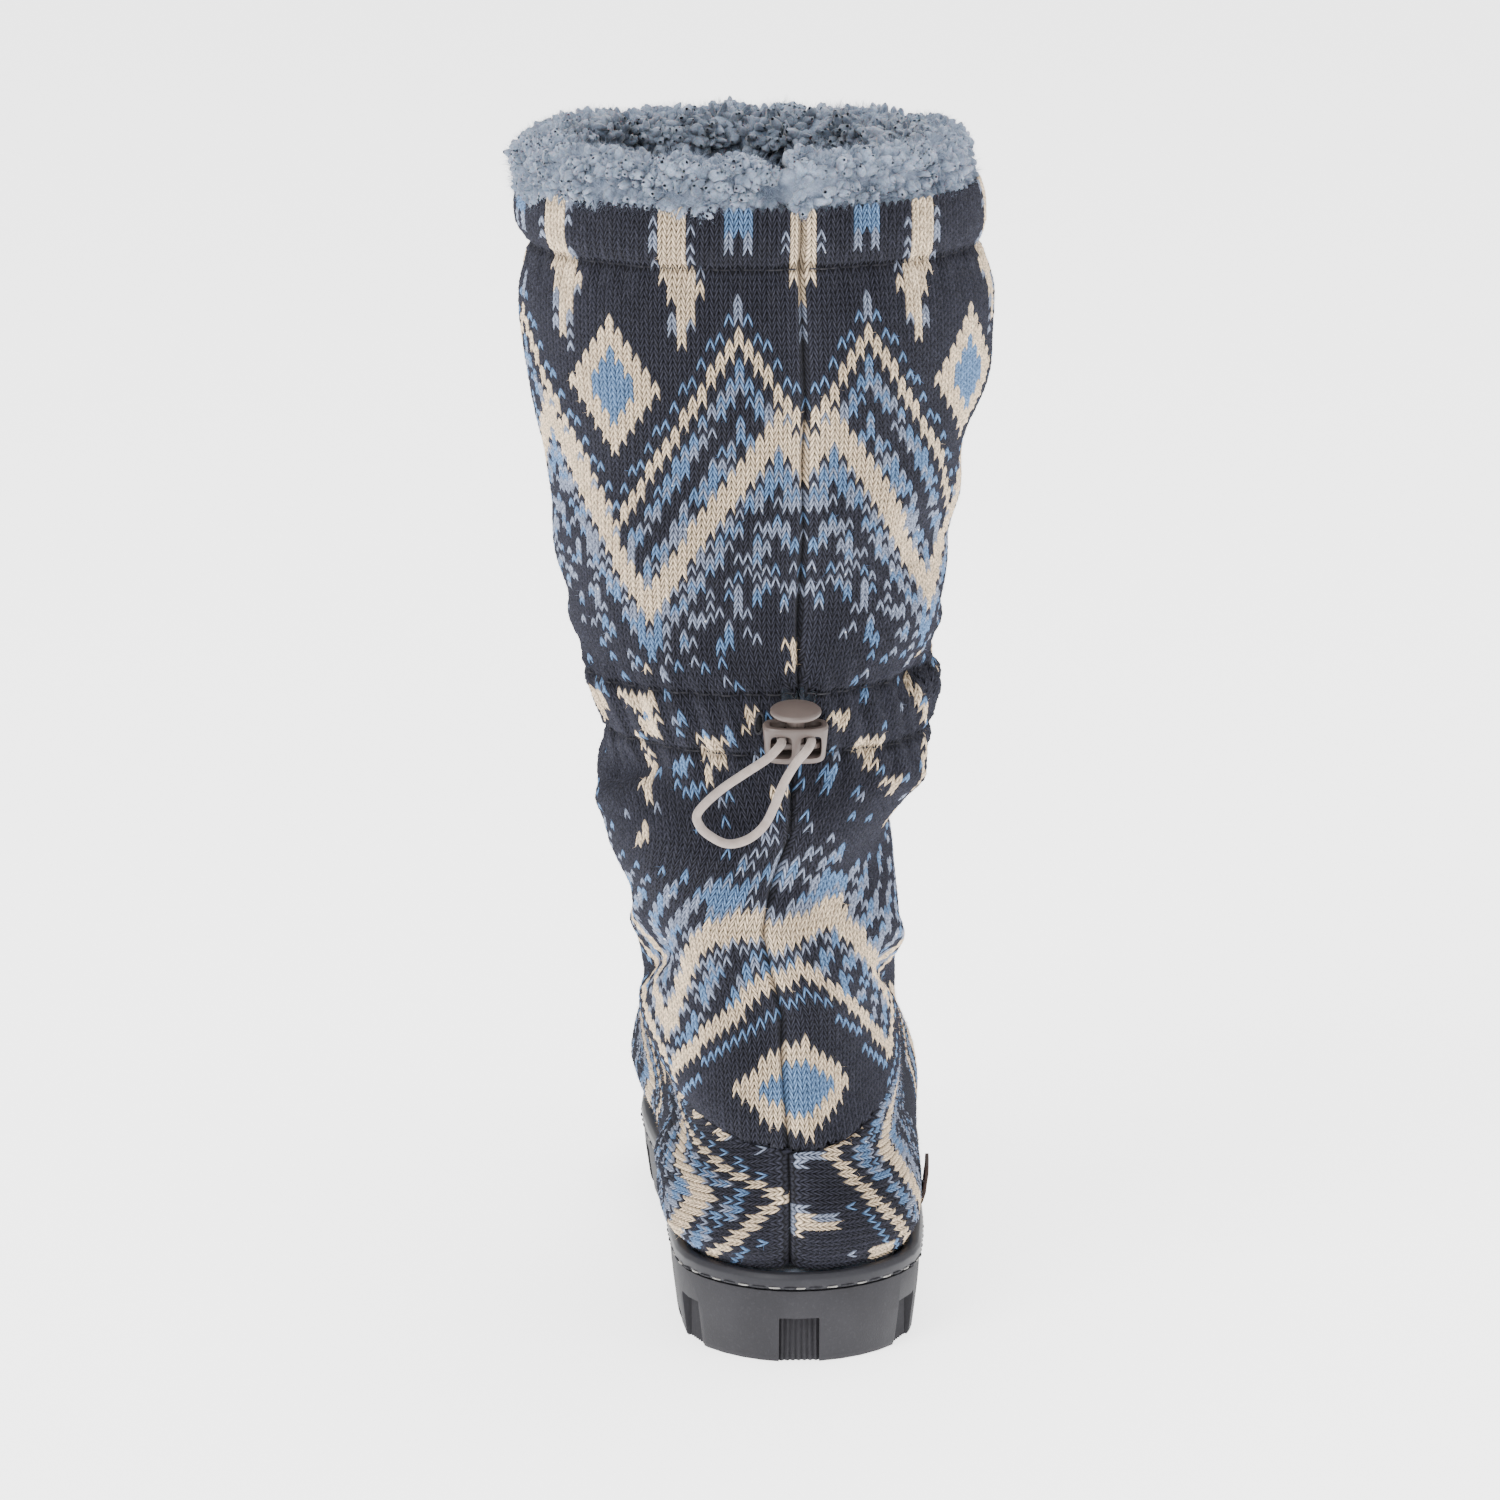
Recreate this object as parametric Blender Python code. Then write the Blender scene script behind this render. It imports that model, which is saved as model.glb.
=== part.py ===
"""Knit bootie slipper, one right shoe: lugged outsole, welt, insole, hollow knit upper,
pile collar, drawcord with its sprung cord lock, and a bare side label.

Toe towards +Y, outer side towards +X, +Z up, sizes in metres. The origin is on the ground
under the heel, on the flat of a heel lug.
"""
import math

import bmesh
import bpy
from mathutils import Matrix, Vector

# Clearance between pieces that touch
GAP = 0.0003

# Sole
SOLE_LENGTH = 0.268
HEEL_SETBACK = 0.038
BALL_WIDTH = 0.092
OUTSOLE_HEIGHT = 0.0234
FOREFOOT_DROP = 0.0040
TOE_SPRING = 0.012
ARCH_RISE = 0.0035
SIDE_TAPER = 0.0028
POCKET_WIDTH = 0.0125
POCKET_DEPTH = 0.0038
POCKET_HEIGHT = 0.0145
POCKET_PITCH = 0.0435
TREAD_WIDTH = 0.0080
TREAD_DEPTH = 0.0045
SIPE_WIDTH = 0.0022
SIPE_DEPTH = 0.0018
WELT_HEIGHT = 0.0054
WELT_WIDTH = 0.0042
WELT_LIP = 0.0006
WELT_GAP = 0.0005
INSOLE_THICKNESS = 0.0040
INSOLE_EDGE = 0.0015
INSOLE_DISH = 0.0120

# Upper
WALL = 0.0030
INSTEP_HEIGHT = 0.0964
LEG_HEIGHT = 0.2960
CALF_WIDTH = 0.144
CALF_DEPTH = 0.108
LEG_AXIS = 0.0085

# Pile collar
ROLL_HEIGHT = 0.0140
ROLL_WIDTH = 0.0190
ROLL_INWARDS = 0.0086
TUFT_LENGTH = 0.0030

# Cord lock and cord
CORD_DIAMETER = 0.0028
CORD_STEP = 0.0024
CORD_TAIL = 0.0002
LOCK_STANDOFF = 0.0001
LOCK_WIDTH = 0.0200
LOCK_DEPTH = 0.0100
LOCK_HEIGHT = 0.0118
LOCK_WALL = 0.0020
LOCK_FLOOR = 0.0018
LOCK_ASIDE = -0.0018
LOCK_UP = 0.1932
LOCK_TILT = math.radians(10.0)
WINDOW_WIDTH = 0.0066
WINDOW_HEIGHT = 0.0074
WINDOW_UP = 0.0021
WEB_WIDTH = 0.0024
BUTTON_DIAMETER = 0.0156
BUTTON_HEIGHT = 0.0022
BUTTON_LIFT = 0.0033
BUTTON_EDGE = 0.0005
NECK_DIAMETER = 0.0054
NECK_STEP = 0.0001
PLUNGER_TRAVEL = 0.0024
SLIDE_GAP = 0.0003

# Side label
LABEL_HEIGHT = 0.0175
LABEL_WIDTH = 0.0150
LABEL_THICKNESS = 0.0012
LABEL_FLARE = 0.0022
LABEL_ALONG = 0.0260

# Sole outline: share of the length from the heel, then the reach of the inner and the outer
# edge as shares of the ball width
SOLE_EDGES = (
    # along, inner, outer
    (0.00, 0.350, 0.390),
    (0.12, 0.390, 0.425),
    (0.25, 0.405, 0.460),
    (0.40, 0.378, 0.475),
    (0.55, 0.380, 0.502),
    (0.70, 0.418, 0.530),
    (0.82, 0.432, 0.490),
    (1.00, 0.405, 0.330),
)
HEEL_ROUND = 0.135
TOE_ROUND = 0.230

# Side of the outsole, ground edge to top: share of its height, share of the taper
SOLE_SIDE = ((0.0, 1.0), (0.07, 0.78), (0.55, 0.28), (1.0, 0.0))

# Rings of the foot, each from a point of the heel line to one of the toe and vamp line.
# Along is a share of the sole's length, up a share of the instep height above the outsole,
# inner and outer are shares of the ball width, and oval blends the sole's outline (0)
# into an ellipse (1)
FOOT_RINGS = (
    # back_along, back_up, front_along, front_up, inner, outer, oval
    (0.0090, 0.118, 0.9800, 0.205, 0.464, 0.522, 0.00),
    (0.0010, 0.185, 0.9700, 0.325, 0.460, 0.516, 0.00),
    (-0.002, 0.250, 0.9150, 0.445, 0.446, 0.486, 0.05),
    (-0.002, 0.305, 0.8300, 0.565, 0.436, 0.448, 0.18),
    (-0.001, 0.355, 0.7250, 0.700, 0.422, 0.412, 0.40),
    (0.0010, 0.410, 0.6150, 0.850, 0.425, 0.395, 0.66),
    (0.0040, 0.461, 0.5150, 1.000, 0.455, 0.388, 0.88),
)

# Rings of the leg. Up is a share of the leg's height above the last foot ring, tilt a share
# of that ring's rise from heel to instep, back and front are shares of the calf's depth
# from the leg's axis, centre and half are shares of the calf's width
LEG_RINGS = (
    # up, tilt, back, front, centre, half
    (0.044, 1.00, -0.403, 0.718, -0.050, 0.2795),
    (0.095, 0.98, -0.389, 0.644, -0.047, 0.2736),
    (0.149, 0.92, -0.380, 0.588, -0.044, 0.2764),
    (0.209, 0.79, -0.377, 0.560, -0.071, 0.2900),
    (0.270, 0.60, -0.384, 0.537, -0.094, 0.3030),
    (0.328, 0.44, -0.403, 0.509, -0.080, 0.3380),
    (0.378, 0.31, -0.398, 0.481, -0.050, 0.3455),
    (0.421, 0.20, -0.398, 0.468, -0.051, 0.3500),
    (0.454, 0.16, -0.419, 0.477, -0.058, 0.3670),
    (0.4865, 0.13, -0.417, 0.468, -0.074, 0.3700),
    (0.527, 0.10, -0.435, 0.481, -0.083, 0.3960),
    (0.578, 0.06, -0.444, 0.491, -0.076, 0.4076),
    (0.628, 0.03, -0.458, 0.491, -0.092, 0.4208),
    (0.676, 0.00, -0.468, 0.495, -0.081, 0.4368),
    (0.726, 0.00, -0.477, 0.500, -0.074, 0.4458),
    (0.777, 0.00, -0.491, 0.514, -0.075, 0.4800),
    (0.831, 0.00, -0.500, 0.523, -0.075, 0.4955),
    (0.885, 0.00, -0.505, 0.523, -0.075, 0.5017),
    (0.934, 0.00, -0.486, 0.500, -0.0795, 0.4788),
    (0.959, 0.00, -0.519, 0.528, -0.088, 0.4965),
    (0.985, 0.00, -0.519, 0.528, -0.090, 0.4948),
    (1.000, 0.00, -0.500, 0.509, -0.089, 0.4837),
)

# Points round a ring, on each side of the shoe
UPPER_STEPS = 21
SOLE_STEPS = 30

# Cord route behind the shaft, hand placed: from the outer window of the lock, down into the
# free loop on the inner side, and back up to the inner window
CORD_LOOP = (
    (0.0010, -0.0528, 0.1985),
    (-0.0024, -0.0522, 0.1942),
    (-0.0058, -0.0511, 0.1880),
    (-0.0083, -0.0498, 0.1812),
    (-0.0116, -0.0486, 0.1743),
    (-0.0167, -0.0474, 0.1697),
    (-0.0228, -0.0462, 0.1682),
    (-0.0285, -0.0451, 0.1709),
    (-0.0312, -0.0449, 0.1740),
    (-0.0318, -0.0453, 0.1772),
    (-0.0291, -0.0466, 0.1812),
    (-0.0241, -0.0488, 0.1862),
    (-0.0176, -0.0508, 0.1912),
    (-0.0112, -0.0522, 0.1958),
    (-0.0080, -0.0521, 0.1988),
)


def material(name, colour, roughness, metallic=0.0):
    """A plain Principled material."""
    made = bpy.data.materials.new(name)
    made.use_nodes = True
    shader = made.node_tree.nodes["Principled BSDF"]
    shader.inputs["Base Color"].default_value = (*colour, 1.0)
    shader.inputs["Roughness"].default_value = roughness
    shader.inputs["Metallic"].default_value = metallic
    return made


def add_mesh(name, verts, faces, surface=None):
    """An object from lists of points and faces."""
    mesh = bpy.data.meshes.new(name)
    mesh.from_pydata([tuple(v) for v in verts], [], faces)
    mesh.update()
    made = bpy.data.objects.new(name, mesh)
    bpy.context.scene.collection.objects.link(made)
    if surface:
        mesh.materials.append(surface)
        mesh.shade_smooth()
        mesh.set_sharp_from_angle(angle=math.radians(35))
    return made


def mix(low, high, share):
    """The value at a share of the way from low to high."""
    return low + (high - low) * share


def smooth_rows(rows, place):
    """A row's values at a place in its first column, on a smooth curve through the rows."""
    last = len(rows) - 1
    k = next((i for i in range(last) if place <= rows[i + 1][0]), last - 1)
    before, low, high, after = (rows[min(max(k + j, 0), last)] for j in (-1, 0, 1, 2))
    span = high[0] - low[0]
    t = min(max((place - low[0]) / span, 0.0), 1.0)
    values = []
    for c in range(1, len(low)):
        slope_low = (high[c] - before[c]) / max(high[0] - before[0], span) * span
        slope_high = (after[c] - low[c]) / max(after[0] - low[0], span) * span
        values.append(
            (2 * t**3 - 3 * t**2 + 1) * low[c] + (t**3 - 2 * t**2 + t) * slope_low
            + (3 * t**2 - 2 * t**3) * high[c] + (t**3 - t**2) * slope_high
        )
    return values


def end_round(share, reach, power):
    """Narrows an outline to nothing at its end, like the end of an oval."""
    t = min(share / reach, 1.0)
    return (1.0 - (1.0 - t) ** power) ** (1.0 / power)


def sole_reach(share, side):
    """How far the sole's edge lies from the middle line, side -1 inner and +1 outer."""
    inner, outer = smooth_rows(SOLE_EDGES, share)
    ends = end_round(share, HEEL_ROUND, 2.0) * end_round(1.0 - share, TOE_ROUND, 2.15)
    return BALL_WIDTH * (outer if side > 0 else inner) * ends


def along(share):
    """Y of a share of the sole's length, from the back of the heel."""
    return SOLE_LENGTH * share - HEEL_SETBACK


def ring_steps(steps):
    """(share of the way to the toe, side) of each point round a ring, counted from the
    heel along the outer side."""
    half = [(0.5 - 0.5 * math.cos(math.pi * i / steps)) for i in range(steps + 1)]
    outer = [(share, 1) for share in half]
    inner = [(share, -1) for share in reversed(half[1:-1])]
    return outer + inner


def sole_outline(inset, steps):
    """Points (x, y) of the sole's edge, moved inwards by inset."""
    edge = [Vector((side * sole_reach(v, side), along(v))) for v, side in ring_steps(steps)]
    moved = []
    for i, point in enumerate(edge):
        tangent = (edge[(i + 1) % len(edge)] - edge[i - 1]).normalized()
        moved.append(point - Vector((tangent.y, -tangent.x)) * inset)
    return moved


def ground(y):
    """Height of the outsole's underside: flat heel and forefoot, arch, toe spring."""
    share = (y + HEEL_SETBACK) / SOLE_LENGTH
    arch = math.sin(math.pi * min(max((share - 0.32) / 0.20, 0.0), 1.0)) ** 2
    toe = min(max((share - 0.76) / 0.24, 0.0), 1.1)
    return ARCH_RISE * arch + TOE_SPRING * toe**2


def sole_top(y):
    """Height of the outsole's top, where welt, upper and insole stand."""
    share = (y + HEEL_SETBACK) / SOLE_LENGTH
    drop = min(max((share - 0.25) / 0.40, 0.0), 1.0)
    toe = min(max((share - 0.70) / 0.30, 0.0), 1.1)
    return OUTSOLE_HEIGHT - FOREFOOT_DROP * (3 - 2 * drop) * drop**2 + TOE_SPRING * toe**2


def stack_faces(rings, count):
    """Side faces between rings of count points, first ring lowest."""
    faces = []
    for r in range(rings - 1):
        for i in range(count):
            j = (i + 1) % count
            faces.append((r * count + i, r * count + j, (r + 1) * count + j, (r + 1) * count + i))
    return faces


def strip_cap(first, count, up):
    """Faces across a ring that is even about the middle line, as strips side to side."""
    half = count // 2
    faces = []
    for i in range(half):
        a, b = first + i, first + i + 1
        c, d = first + (count - i - 1) % count, first + (count - i) % count
        corners = [a, b, c, d]
        corners = list(dict.fromkeys(corners))
        faces.append(tuple(corners) if up else tuple(reversed(corners)))
    return faces


def cut(target, cutters):
    """Takes the cutters out of target with an exact Boolean each."""
    for cutter in cutters:
        cutter.hide_render = True
        cutter.display_type = "WIRE"
        boolean = target.modifiers.new(cutter.name, "BOOLEAN")
        boolean.operation = "DIFFERENCE"
        boolean.solver = "EXACT"
        boolean.object = cutter


def side_stations(pitch, inset):
    """Points of the sole's edge at each pitch from the heel, on both sides: position,
    direction inwards and direction along the edge."""
    edge = sole_outline(inset, 200)
    stations = []
    for side in (1, -1):
        walk = edge if side > 0 else [edge[0]] + edge[:0:-1]
        travelled, wanted = 0.0, 0.0 if side > 0 else pitch
        for a, b in zip(walk[:200], walk[1:201]):
            step = (b - a).length
            while travelled + step >= wanted:
                point = a + (b - a) * ((wanted - travelled) / step)
                if wanted > 0.0:
                    tangent = (b - a).normalized()
                else:
                    tangent = Vector((1.0, 0.0))
                stations.append((point, Vector((-tangent.y, tangent.x)) * side, tangent))
                wanted += pitch
            travelled += step
    return stations


def tread_lines(stations):
    """Y of each cross tread, from a side pocket to its partner on the other side."""
    outer = [point.y for point, _, _ in stations if point.x > 0.0][1:]
    inner = [point.y for point, _, _ in stations if point.x < 0.0]
    return [(a + b) / 2 for a, b in zip(outer, inner)]


def ribbed_pocket(point, inward, tangent, low, high):
    """Outline prism of one side pocket, its inner wall ribbed."""
    waves = 7
    outer = POCKET_DEPTH * 3.0
    half = POCKET_WIDTH / 2
    outline = [point - inward * outer - tangent * half, point - inward * outer + tangent * half]
    for k in range(2 * waves + 1):
        across = half - POCKET_WIDTH * k / (2 * waves)
        depth = POCKET_DEPTH * (1.0 if k % 2 == 0 else 0.72)
        outline.append(point + inward * depth + tangent * across)
    verts = [(p.x, p.y, z) for z in (low, high) for p in outline]
    n = len(outline)
    faces = [tuple(range(n)), tuple(range(2 * n - 1, n - 1, -1))]
    faces += [(i, i + n, (i + 1) % n + n, (i + 1) % n) for i in range(n)]
    return verts, faces


def closed(verts, faces, name):
    """A cutter object whose faces point out."""
    made = add_mesh(name, verts, faces)
    mesh = bmesh.new()
    mesh.from_mesh(made.data)
    bmesh.ops.recalc_face_normals(mesh, faces=mesh.faces)
    mesh.to_mesh(made.data)
    mesh.free()
    return made


def prism_cutter(name, corners, low, high):
    """An upright prism over corners (x, y)."""
    n = len(corners)
    verts = [(x, y, z) for z in (low, high) for x, y in corners]
    faces = [tuple(range(n)), tuple(range(n, 2 * n))]
    faces += [(i, (i + 1) % n, (i + 1) % n + n, i + n) for i in range(n)]
    return closed(verts, faces, name)


def make_outsole(surface):
    """Outsole body, then side pockets, cross treads and the fine notches of the lugs."""
    verts = []
    for share, taper in SOLE_SIDE:
        for p in sole_outline(SIDE_TAPER * taper, SOLE_STEPS):
            verts.append((p.x, p.y, mix(ground(p.y), sole_top(p.y), share)))
    count = 2 * SOLE_STEPS
    faces = stack_faces(len(SOLE_SIDE), count)
    faces += strip_cap(0, count, False)
    faces += strip_cap((len(SOLE_SIDE) - 1) * count, count, True)
    outsole = add_mesh("outsole", verts, faces, surface)

    pocket_verts, pocket_faces = [], []
    stations = side_stations(POCKET_PITCH, SIDE_TAPER * 0.5)
    for point, inward, tangent in stations:
        floor = ground(point.y)
        low, high = floor - OUTSOLE_HEIGHT, floor + POCKET_HEIGHT
        new_verts, new_faces = ribbed_pocket(point, inward, tangent, low, high)
        base = len(pocket_verts)
        pocket_verts += new_verts
        pocket_faces += [tuple(i + base for i in face) for face in new_faces]
    cutters = [closed(pocket_verts, pocket_faces, "pocket_cutter")]

    treads = tread_lines(stations)
    notches = [(a + b) / 2 for a, b in zip(treads, treads[1:])]
    for k, y in enumerate(treads + notches):
        tread = k < len(treads)
        half = (TREAD_WIDTH if tread else SIPE_WIDTH) / 2
        depth = TREAD_DEPTH if tread else SIPE_DEPTH
        corners = [(x, y + ahead) for x, ahead in ((-BALL_WIDTH, -half), (BALL_WIDTH, -half),
                                                   (BALL_WIDTH, half), (-BALL_WIDTH, half))]
        below = ground(y) - OUTSOLE_HEIGHT
        cutters.append(prism_cutter(f"tread_cutter_{k}", corners, below, ground(y) + depth))
    cut(outsole, cutters)
    return outsole


def make_welt(surface):
    """Rounded rand on the outsole, round the foot of the upper. Its section starts low on
    the inside and goes round by the outside."""
    section = (
        # share of the width from the inside, share of the height
        (0.0, 0.0), (0.78, 0.0), (1.0, 0.22), (1.0, 0.68), (0.80, 0.95), (0.45, 1.0), (0.0, 0.86),
    )
    rings = []
    for across, up in section:
        inset = mix(WELT_WIDTH, -WELT_LIP, across)
        rings.append([(p.x, p.y, sole_top(p.y) + GAP + WELT_HEIGHT * up)
                      for p in sole_outline(inset, SOLE_STEPS)])
    count = 2 * SOLE_STEPS
    faces = stack_faces(len(rings), count)
    last = (len(rings) - 1) * count
    faces += [(last + i, last + (i + 1) % count, (i + 1) % count, i) for i in range(count)]
    return add_mesh("welt", [p for ring in rings for p in ring], faces, surface)


def make_insole(surface):
    """Footbed on the outsole, inside the upper, a little dished."""
    inset = WELT_WIDTH + WELT_GAP + WALL + GAP
    layers = ((inset, 0.0), (inset, 0.85), (inset + INSOLE_EDGE, 1.0), (inset + INSOLE_DISH, 0.72))
    verts = []
    for inward, up in layers:
        for p in sole_outline(inward, UPPER_STEPS):
            verts.append((p.x, p.y, sole_top(p.y) + GAP + INSOLE_THICKNESS * up))
    count = 2 * UPPER_STEPS
    faces = stack_faces(len(layers), count) + strip_cap(0, count, False)
    faces += strip_cap((len(layers) - 1) * count, count, True)
    return add_mesh("insole", verts, faces, surface)


def foot_ring(row, steps):
    """One ring of the foot from its table row."""
    back_along, back_up, front_along, front_up, inner, outer, oval = row
    widest = {side: max(sole_reach(k / 40, side) for k in range(41)) for side in (1, -1)}
    ring = []
    for k, (share, side) in enumerate(ring_steps(steps)):
        y = mix(along(back_along), along(front_along), share)
        z = OUTSOLE_HEIGHT + INSTEP_HEIGHT * mix(back_up, front_up, share)
        sole_shape = sole_reach(share, side) / widest[side]
        oval_shape = 2.0 * math.sqrt(max(share * (1.0 - share), 0.0))
        x = side * BALL_WIDTH * (outer if side > 0 else inner) * mix(sole_shape, oval_shape, oval)
        ring.append(Vector((x, y, z)))
    return ring


def leg_ring(row, steps):
    """One ring of the leg from its table row."""
    up, tilt, back, front, centre, half = row
    ankle = FOOT_RINGS[-1]
    back_z = OUTSOLE_HEIGHT + INSTEP_HEIGHT * ankle[1] + LEG_HEIGHT * up
    rise = INSTEP_HEIGHT * (ankle[3] - ankle[1]) * tilt
    ring = []
    for share, side in ring_steps(steps):
        y = LEG_AXIS + CALF_DEPTH * mix(back, front, share)
        reach = 2.0 * math.sqrt(max(share * (1.0 - share), 0.0))
        x = CALF_WIDTH * (centre + side * half * reach)
        ring.append(Vector((x, y, back_z + rise * share)))
    return ring


def upper_rings(steps):
    """Outer surface of the upper, ring by ring from the outsole to the collar."""
    foot_line = sole_outline(WELT_WIDTH + WELT_GAP, steps)
    rings = [[Vector((p.x, p.y, sole_top(p.y) + GAP)) for p in foot_line],
             [Vector((p.x, p.y, sole_top(p.y) + WELT_HEIGHT)) for p in foot_line]]
    rings += [foot_ring(row, steps) for row in FOOT_RINGS]
    rings += [leg_ring(row, steps) for row in LEG_RINGS]
    return rings


def offset_rings(rings, distance):
    """Rings moved inwards, square to the surface that they span."""
    moved = []
    for r, ring in enumerate(rings):
        below, above = rings[max(r - 1, 0)], rings[min(r + 1, len(rings) - 1)]
        new = []
        for i, point in enumerate(ring):
            round_way = ring[(i + 1) % len(ring)] - ring[i - 1]
            normal = round_way.cross(above[i] - below[i]).normalized()
            if r in (0, 1, len(rings) - 1):
                normal = Vector((normal.x, normal.y, 0.0)).normalized()
            new.append(point - normal * distance)
        moved.append(new)
    return moved


def make_upper(surface):
    """Foot and leg as one hollow wall, open at the collar and underneath."""
    outer = upper_rings(UPPER_STEPS)
    inner = offset_rings(outer, WALL)
    count = 2 * UPPER_STEPS
    rings = outer + inner[::-1]
    faces = stack_faces(len(rings), count)
    last = (len(rings) - 1) * count
    faces += [(last + i, last + (i + 1) % count, (i + 1) % count, i) for i in range(count)]
    return add_mesh("upper", [p for ring in rings for p in ring], faces, surface)


def make_collar(surface):
    """Roll of deep pile that rests on the inner edge of the wall's top, with locks drawn
    out of its upper half."""
    edge = leg_ring(LEG_RINGS[-1], 34)
    sides = 12
    verts = []
    wall_reach = min((ROLL_INWARDS - WALL) / (ROLL_WIDTH / 2), 1.0)
    middle_up = GAP + ROLL_HEIGHT / 2 * math.sqrt(1.0 - wall_reach**2)
    for i, point in enumerate(edge):
        round_way = (edge[(i + 1) % len(edge)] - edge[i - 1]).normalized()
        outward = Vector((round_way.y, -round_way.x, 0.0))
        for k in range(sides):
            angle = 2 * math.pi * k / sides
            tuft = math.sin(12.9898 * i + 78.233 * k) * 43758.5453
            ragged = tuft - math.floor(tuft)
            reach = TUFT_LENGTH * (ragged if ragged > 0.45 and math.sin(angle) > -0.4 else 0.0)
            out = (ROLL_WIDTH / 2 + reach) * math.cos(angle) - ROLL_INWARDS
            up = middle_up + (ROLL_HEIGHT / 2 + reach) * math.sin(angle)
            verts.append(point + outward * out + Vector((0.0, 0.0, up)))
    faces = []
    for i in range(len(edge)):
        for k in range(sides):
            a, b = i * sides + k, i * sides + (k + 1) % sides
            j = (i + 1) % len(edge)
            faces.append((a, j * sides + k, j * sides + (k + 1) % sides, b))
    return add_mesh("sherpa_collar", verts, faces, surface)


def oval_outline(width, depth, steps=24, power=3.2):
    """A rounded rectangle as a superellipse round the origin."""
    points = []
    for k in range(steps):
        angle = 2 * math.pi * k / steps
        c, s = math.cos(angle), math.sin(angle)
        points.append((math.copysign(abs(c) ** (2 / power), c) * width / 2,
                       math.copysign(abs(s) ** (2 / power), s) * depth / 2))
    return points


def stacked_solid(name, layers, surface):
    """A closed solid from layers of (height, outline), lowest first."""
    verts = [(x, y, z) for z, outline in layers for x, y in outline]
    count = len(layers[0][1])
    faces = stack_faces(len(layers), count)
    faces.append(tuple(reversed(range(count))))
    last = (len(layers) - 1) * count
    faces.append(tuple(range(last, last + count)))
    return add_mesh(name, verts, faces, surface)


def lock_centre():
    """Middle of the cord lock's foot, its back just clear of the shaft."""
    channel = leg_ring(LEG_RINGS[8], UPPER_STEPS)
    back = min(p.y for p in channel)
    return Vector((LOCK_ASIDE, back - LOCK_STANDOFF - LOCK_DEPTH / 2, LOCK_UP))


def lock_place(point):
    """A point of the lock's own frame, in the shoe's frame."""
    return lock_centre() + Matrix.Rotation(LOCK_TILT, 3, "X") @ Vector(point)


def stand_lock(made):
    """Sets a piece or a cutter of the lock on its place, its top leaning away."""
    made.location = lock_centre()
    made.rotation_euler = (LOCK_TILT, 0.0, 0.0)
    return made


def cord_in_lock():
    """Where the cord runs in the lock: how far aside, and how high above the foot."""
    aside = (WEB_WIDTH + WINDOW_WIDTH) / 2
    return aside, WINDOW_UP + WINDOW_HEIGHT - GAP - CORD_DIAMETER / 2


def make_lock_body(surface):
    """Flared barrel with an open top and two windows right through it."""
    sections = (
        # height, width and depth as shares of the full ones
        (0.00, 0.780, 0.70), (0.05, 0.870, 0.84), (0.16, 0.925, 0.92),
        (0.62, 0.970, 0.98), (0.93, 1.000, 1.00), (1.00, 0.955, 0.91),
    )
    layers = [(LOCK_HEIGHT * up, oval_outline(LOCK_WIDTH * wide, LOCK_DEPTH * deep))
              for up, wide, deep in sections]
    body = stand_lock(stacked_solid("cord_lock_body", layers, surface))
    bore = oval_outline(LOCK_WIDTH - 2 * LOCK_WALL, LOCK_DEPTH - 2 * LOCK_WALL)
    cutters = [prism_cutter("bore_cutter", bore, LOCK_FLOOR, 2 * LOCK_HEIGHT)]
    for side in (1, -1):
        middle_x = side * (WEB_WIDTH + WINDOW_WIDTH) / 2
        middle_z = WINDOW_UP + WINDOW_HEIGHT / 2
        window = [(middle_x + x, middle_z + z)
                  for x, z in oval_outline(WINDOW_WIDTH, WINDOW_HEIGHT, 20, 4.5)]
        verts = [(x, y, z) for y in (-LOCK_DEPTH, LOCK_DEPTH) for x, z in window]
        n = len(window)
        faces = [tuple(range(n)), tuple(range(n, 2 * n))]
        faces += [(i, (i + 1) % n, (i + 1) % n + n, i + n) for i in range(n)]
        cutters.append(closed(verts, faces, f"window_cutter_{side + 1}"))
    for cutter in cutters:
        stand_lock(cutter)
    cut(body, cutters)
    return body


def make_lock_plunger(surface):
    """Wings under the cord, a round neck between its two runs, and a domed button."""
    steps = 24
    side_gap = 2 * (LOCK_WALL + SLIDE_GAP)
    wing = oval_outline(LOCK_WIDTH - side_gap, LOCK_DEPTH - side_gap, steps)
    low = LOCK_FLOOR + PLUNGER_TRAVEL + SLIDE_GAP
    wing_top = cord_in_lock()[1] - CORD_DIAMETER / 2 - SLIDE_GAP
    button = LOCK_HEIGHT + BUTTON_LIFT
    top = button + BUTTON_HEIGHT

    def disc(diameter):
        return oval_outline(diameter, diameter, steps, 2.0)

    layers = (
        (low, wing), (wing_top, wing),
        (wing_top + NECK_STEP, disc(NECK_DIAMETER)), (button - NECK_STEP, disc(NECK_DIAMETER)),
        (button, disc(BUTTON_DIAMETER - 2 * BUTTON_EDGE)), (button + BUTTON_EDGE, disc(BUTTON_DIAMETER)),
        (top - 2 * BUTTON_EDGE, disc(BUTTON_DIAMETER)),
        (top - BUTTON_EDGE, disc(BUTTON_DIAMETER - 2 * BUTTON_EDGE)),
        (top, disc(BUTTON_DIAMETER - 12 * BUTTON_EDGE)),
    )
    return stand_lock(stacked_solid("cord_lock_plunger", layers, surface))


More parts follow.
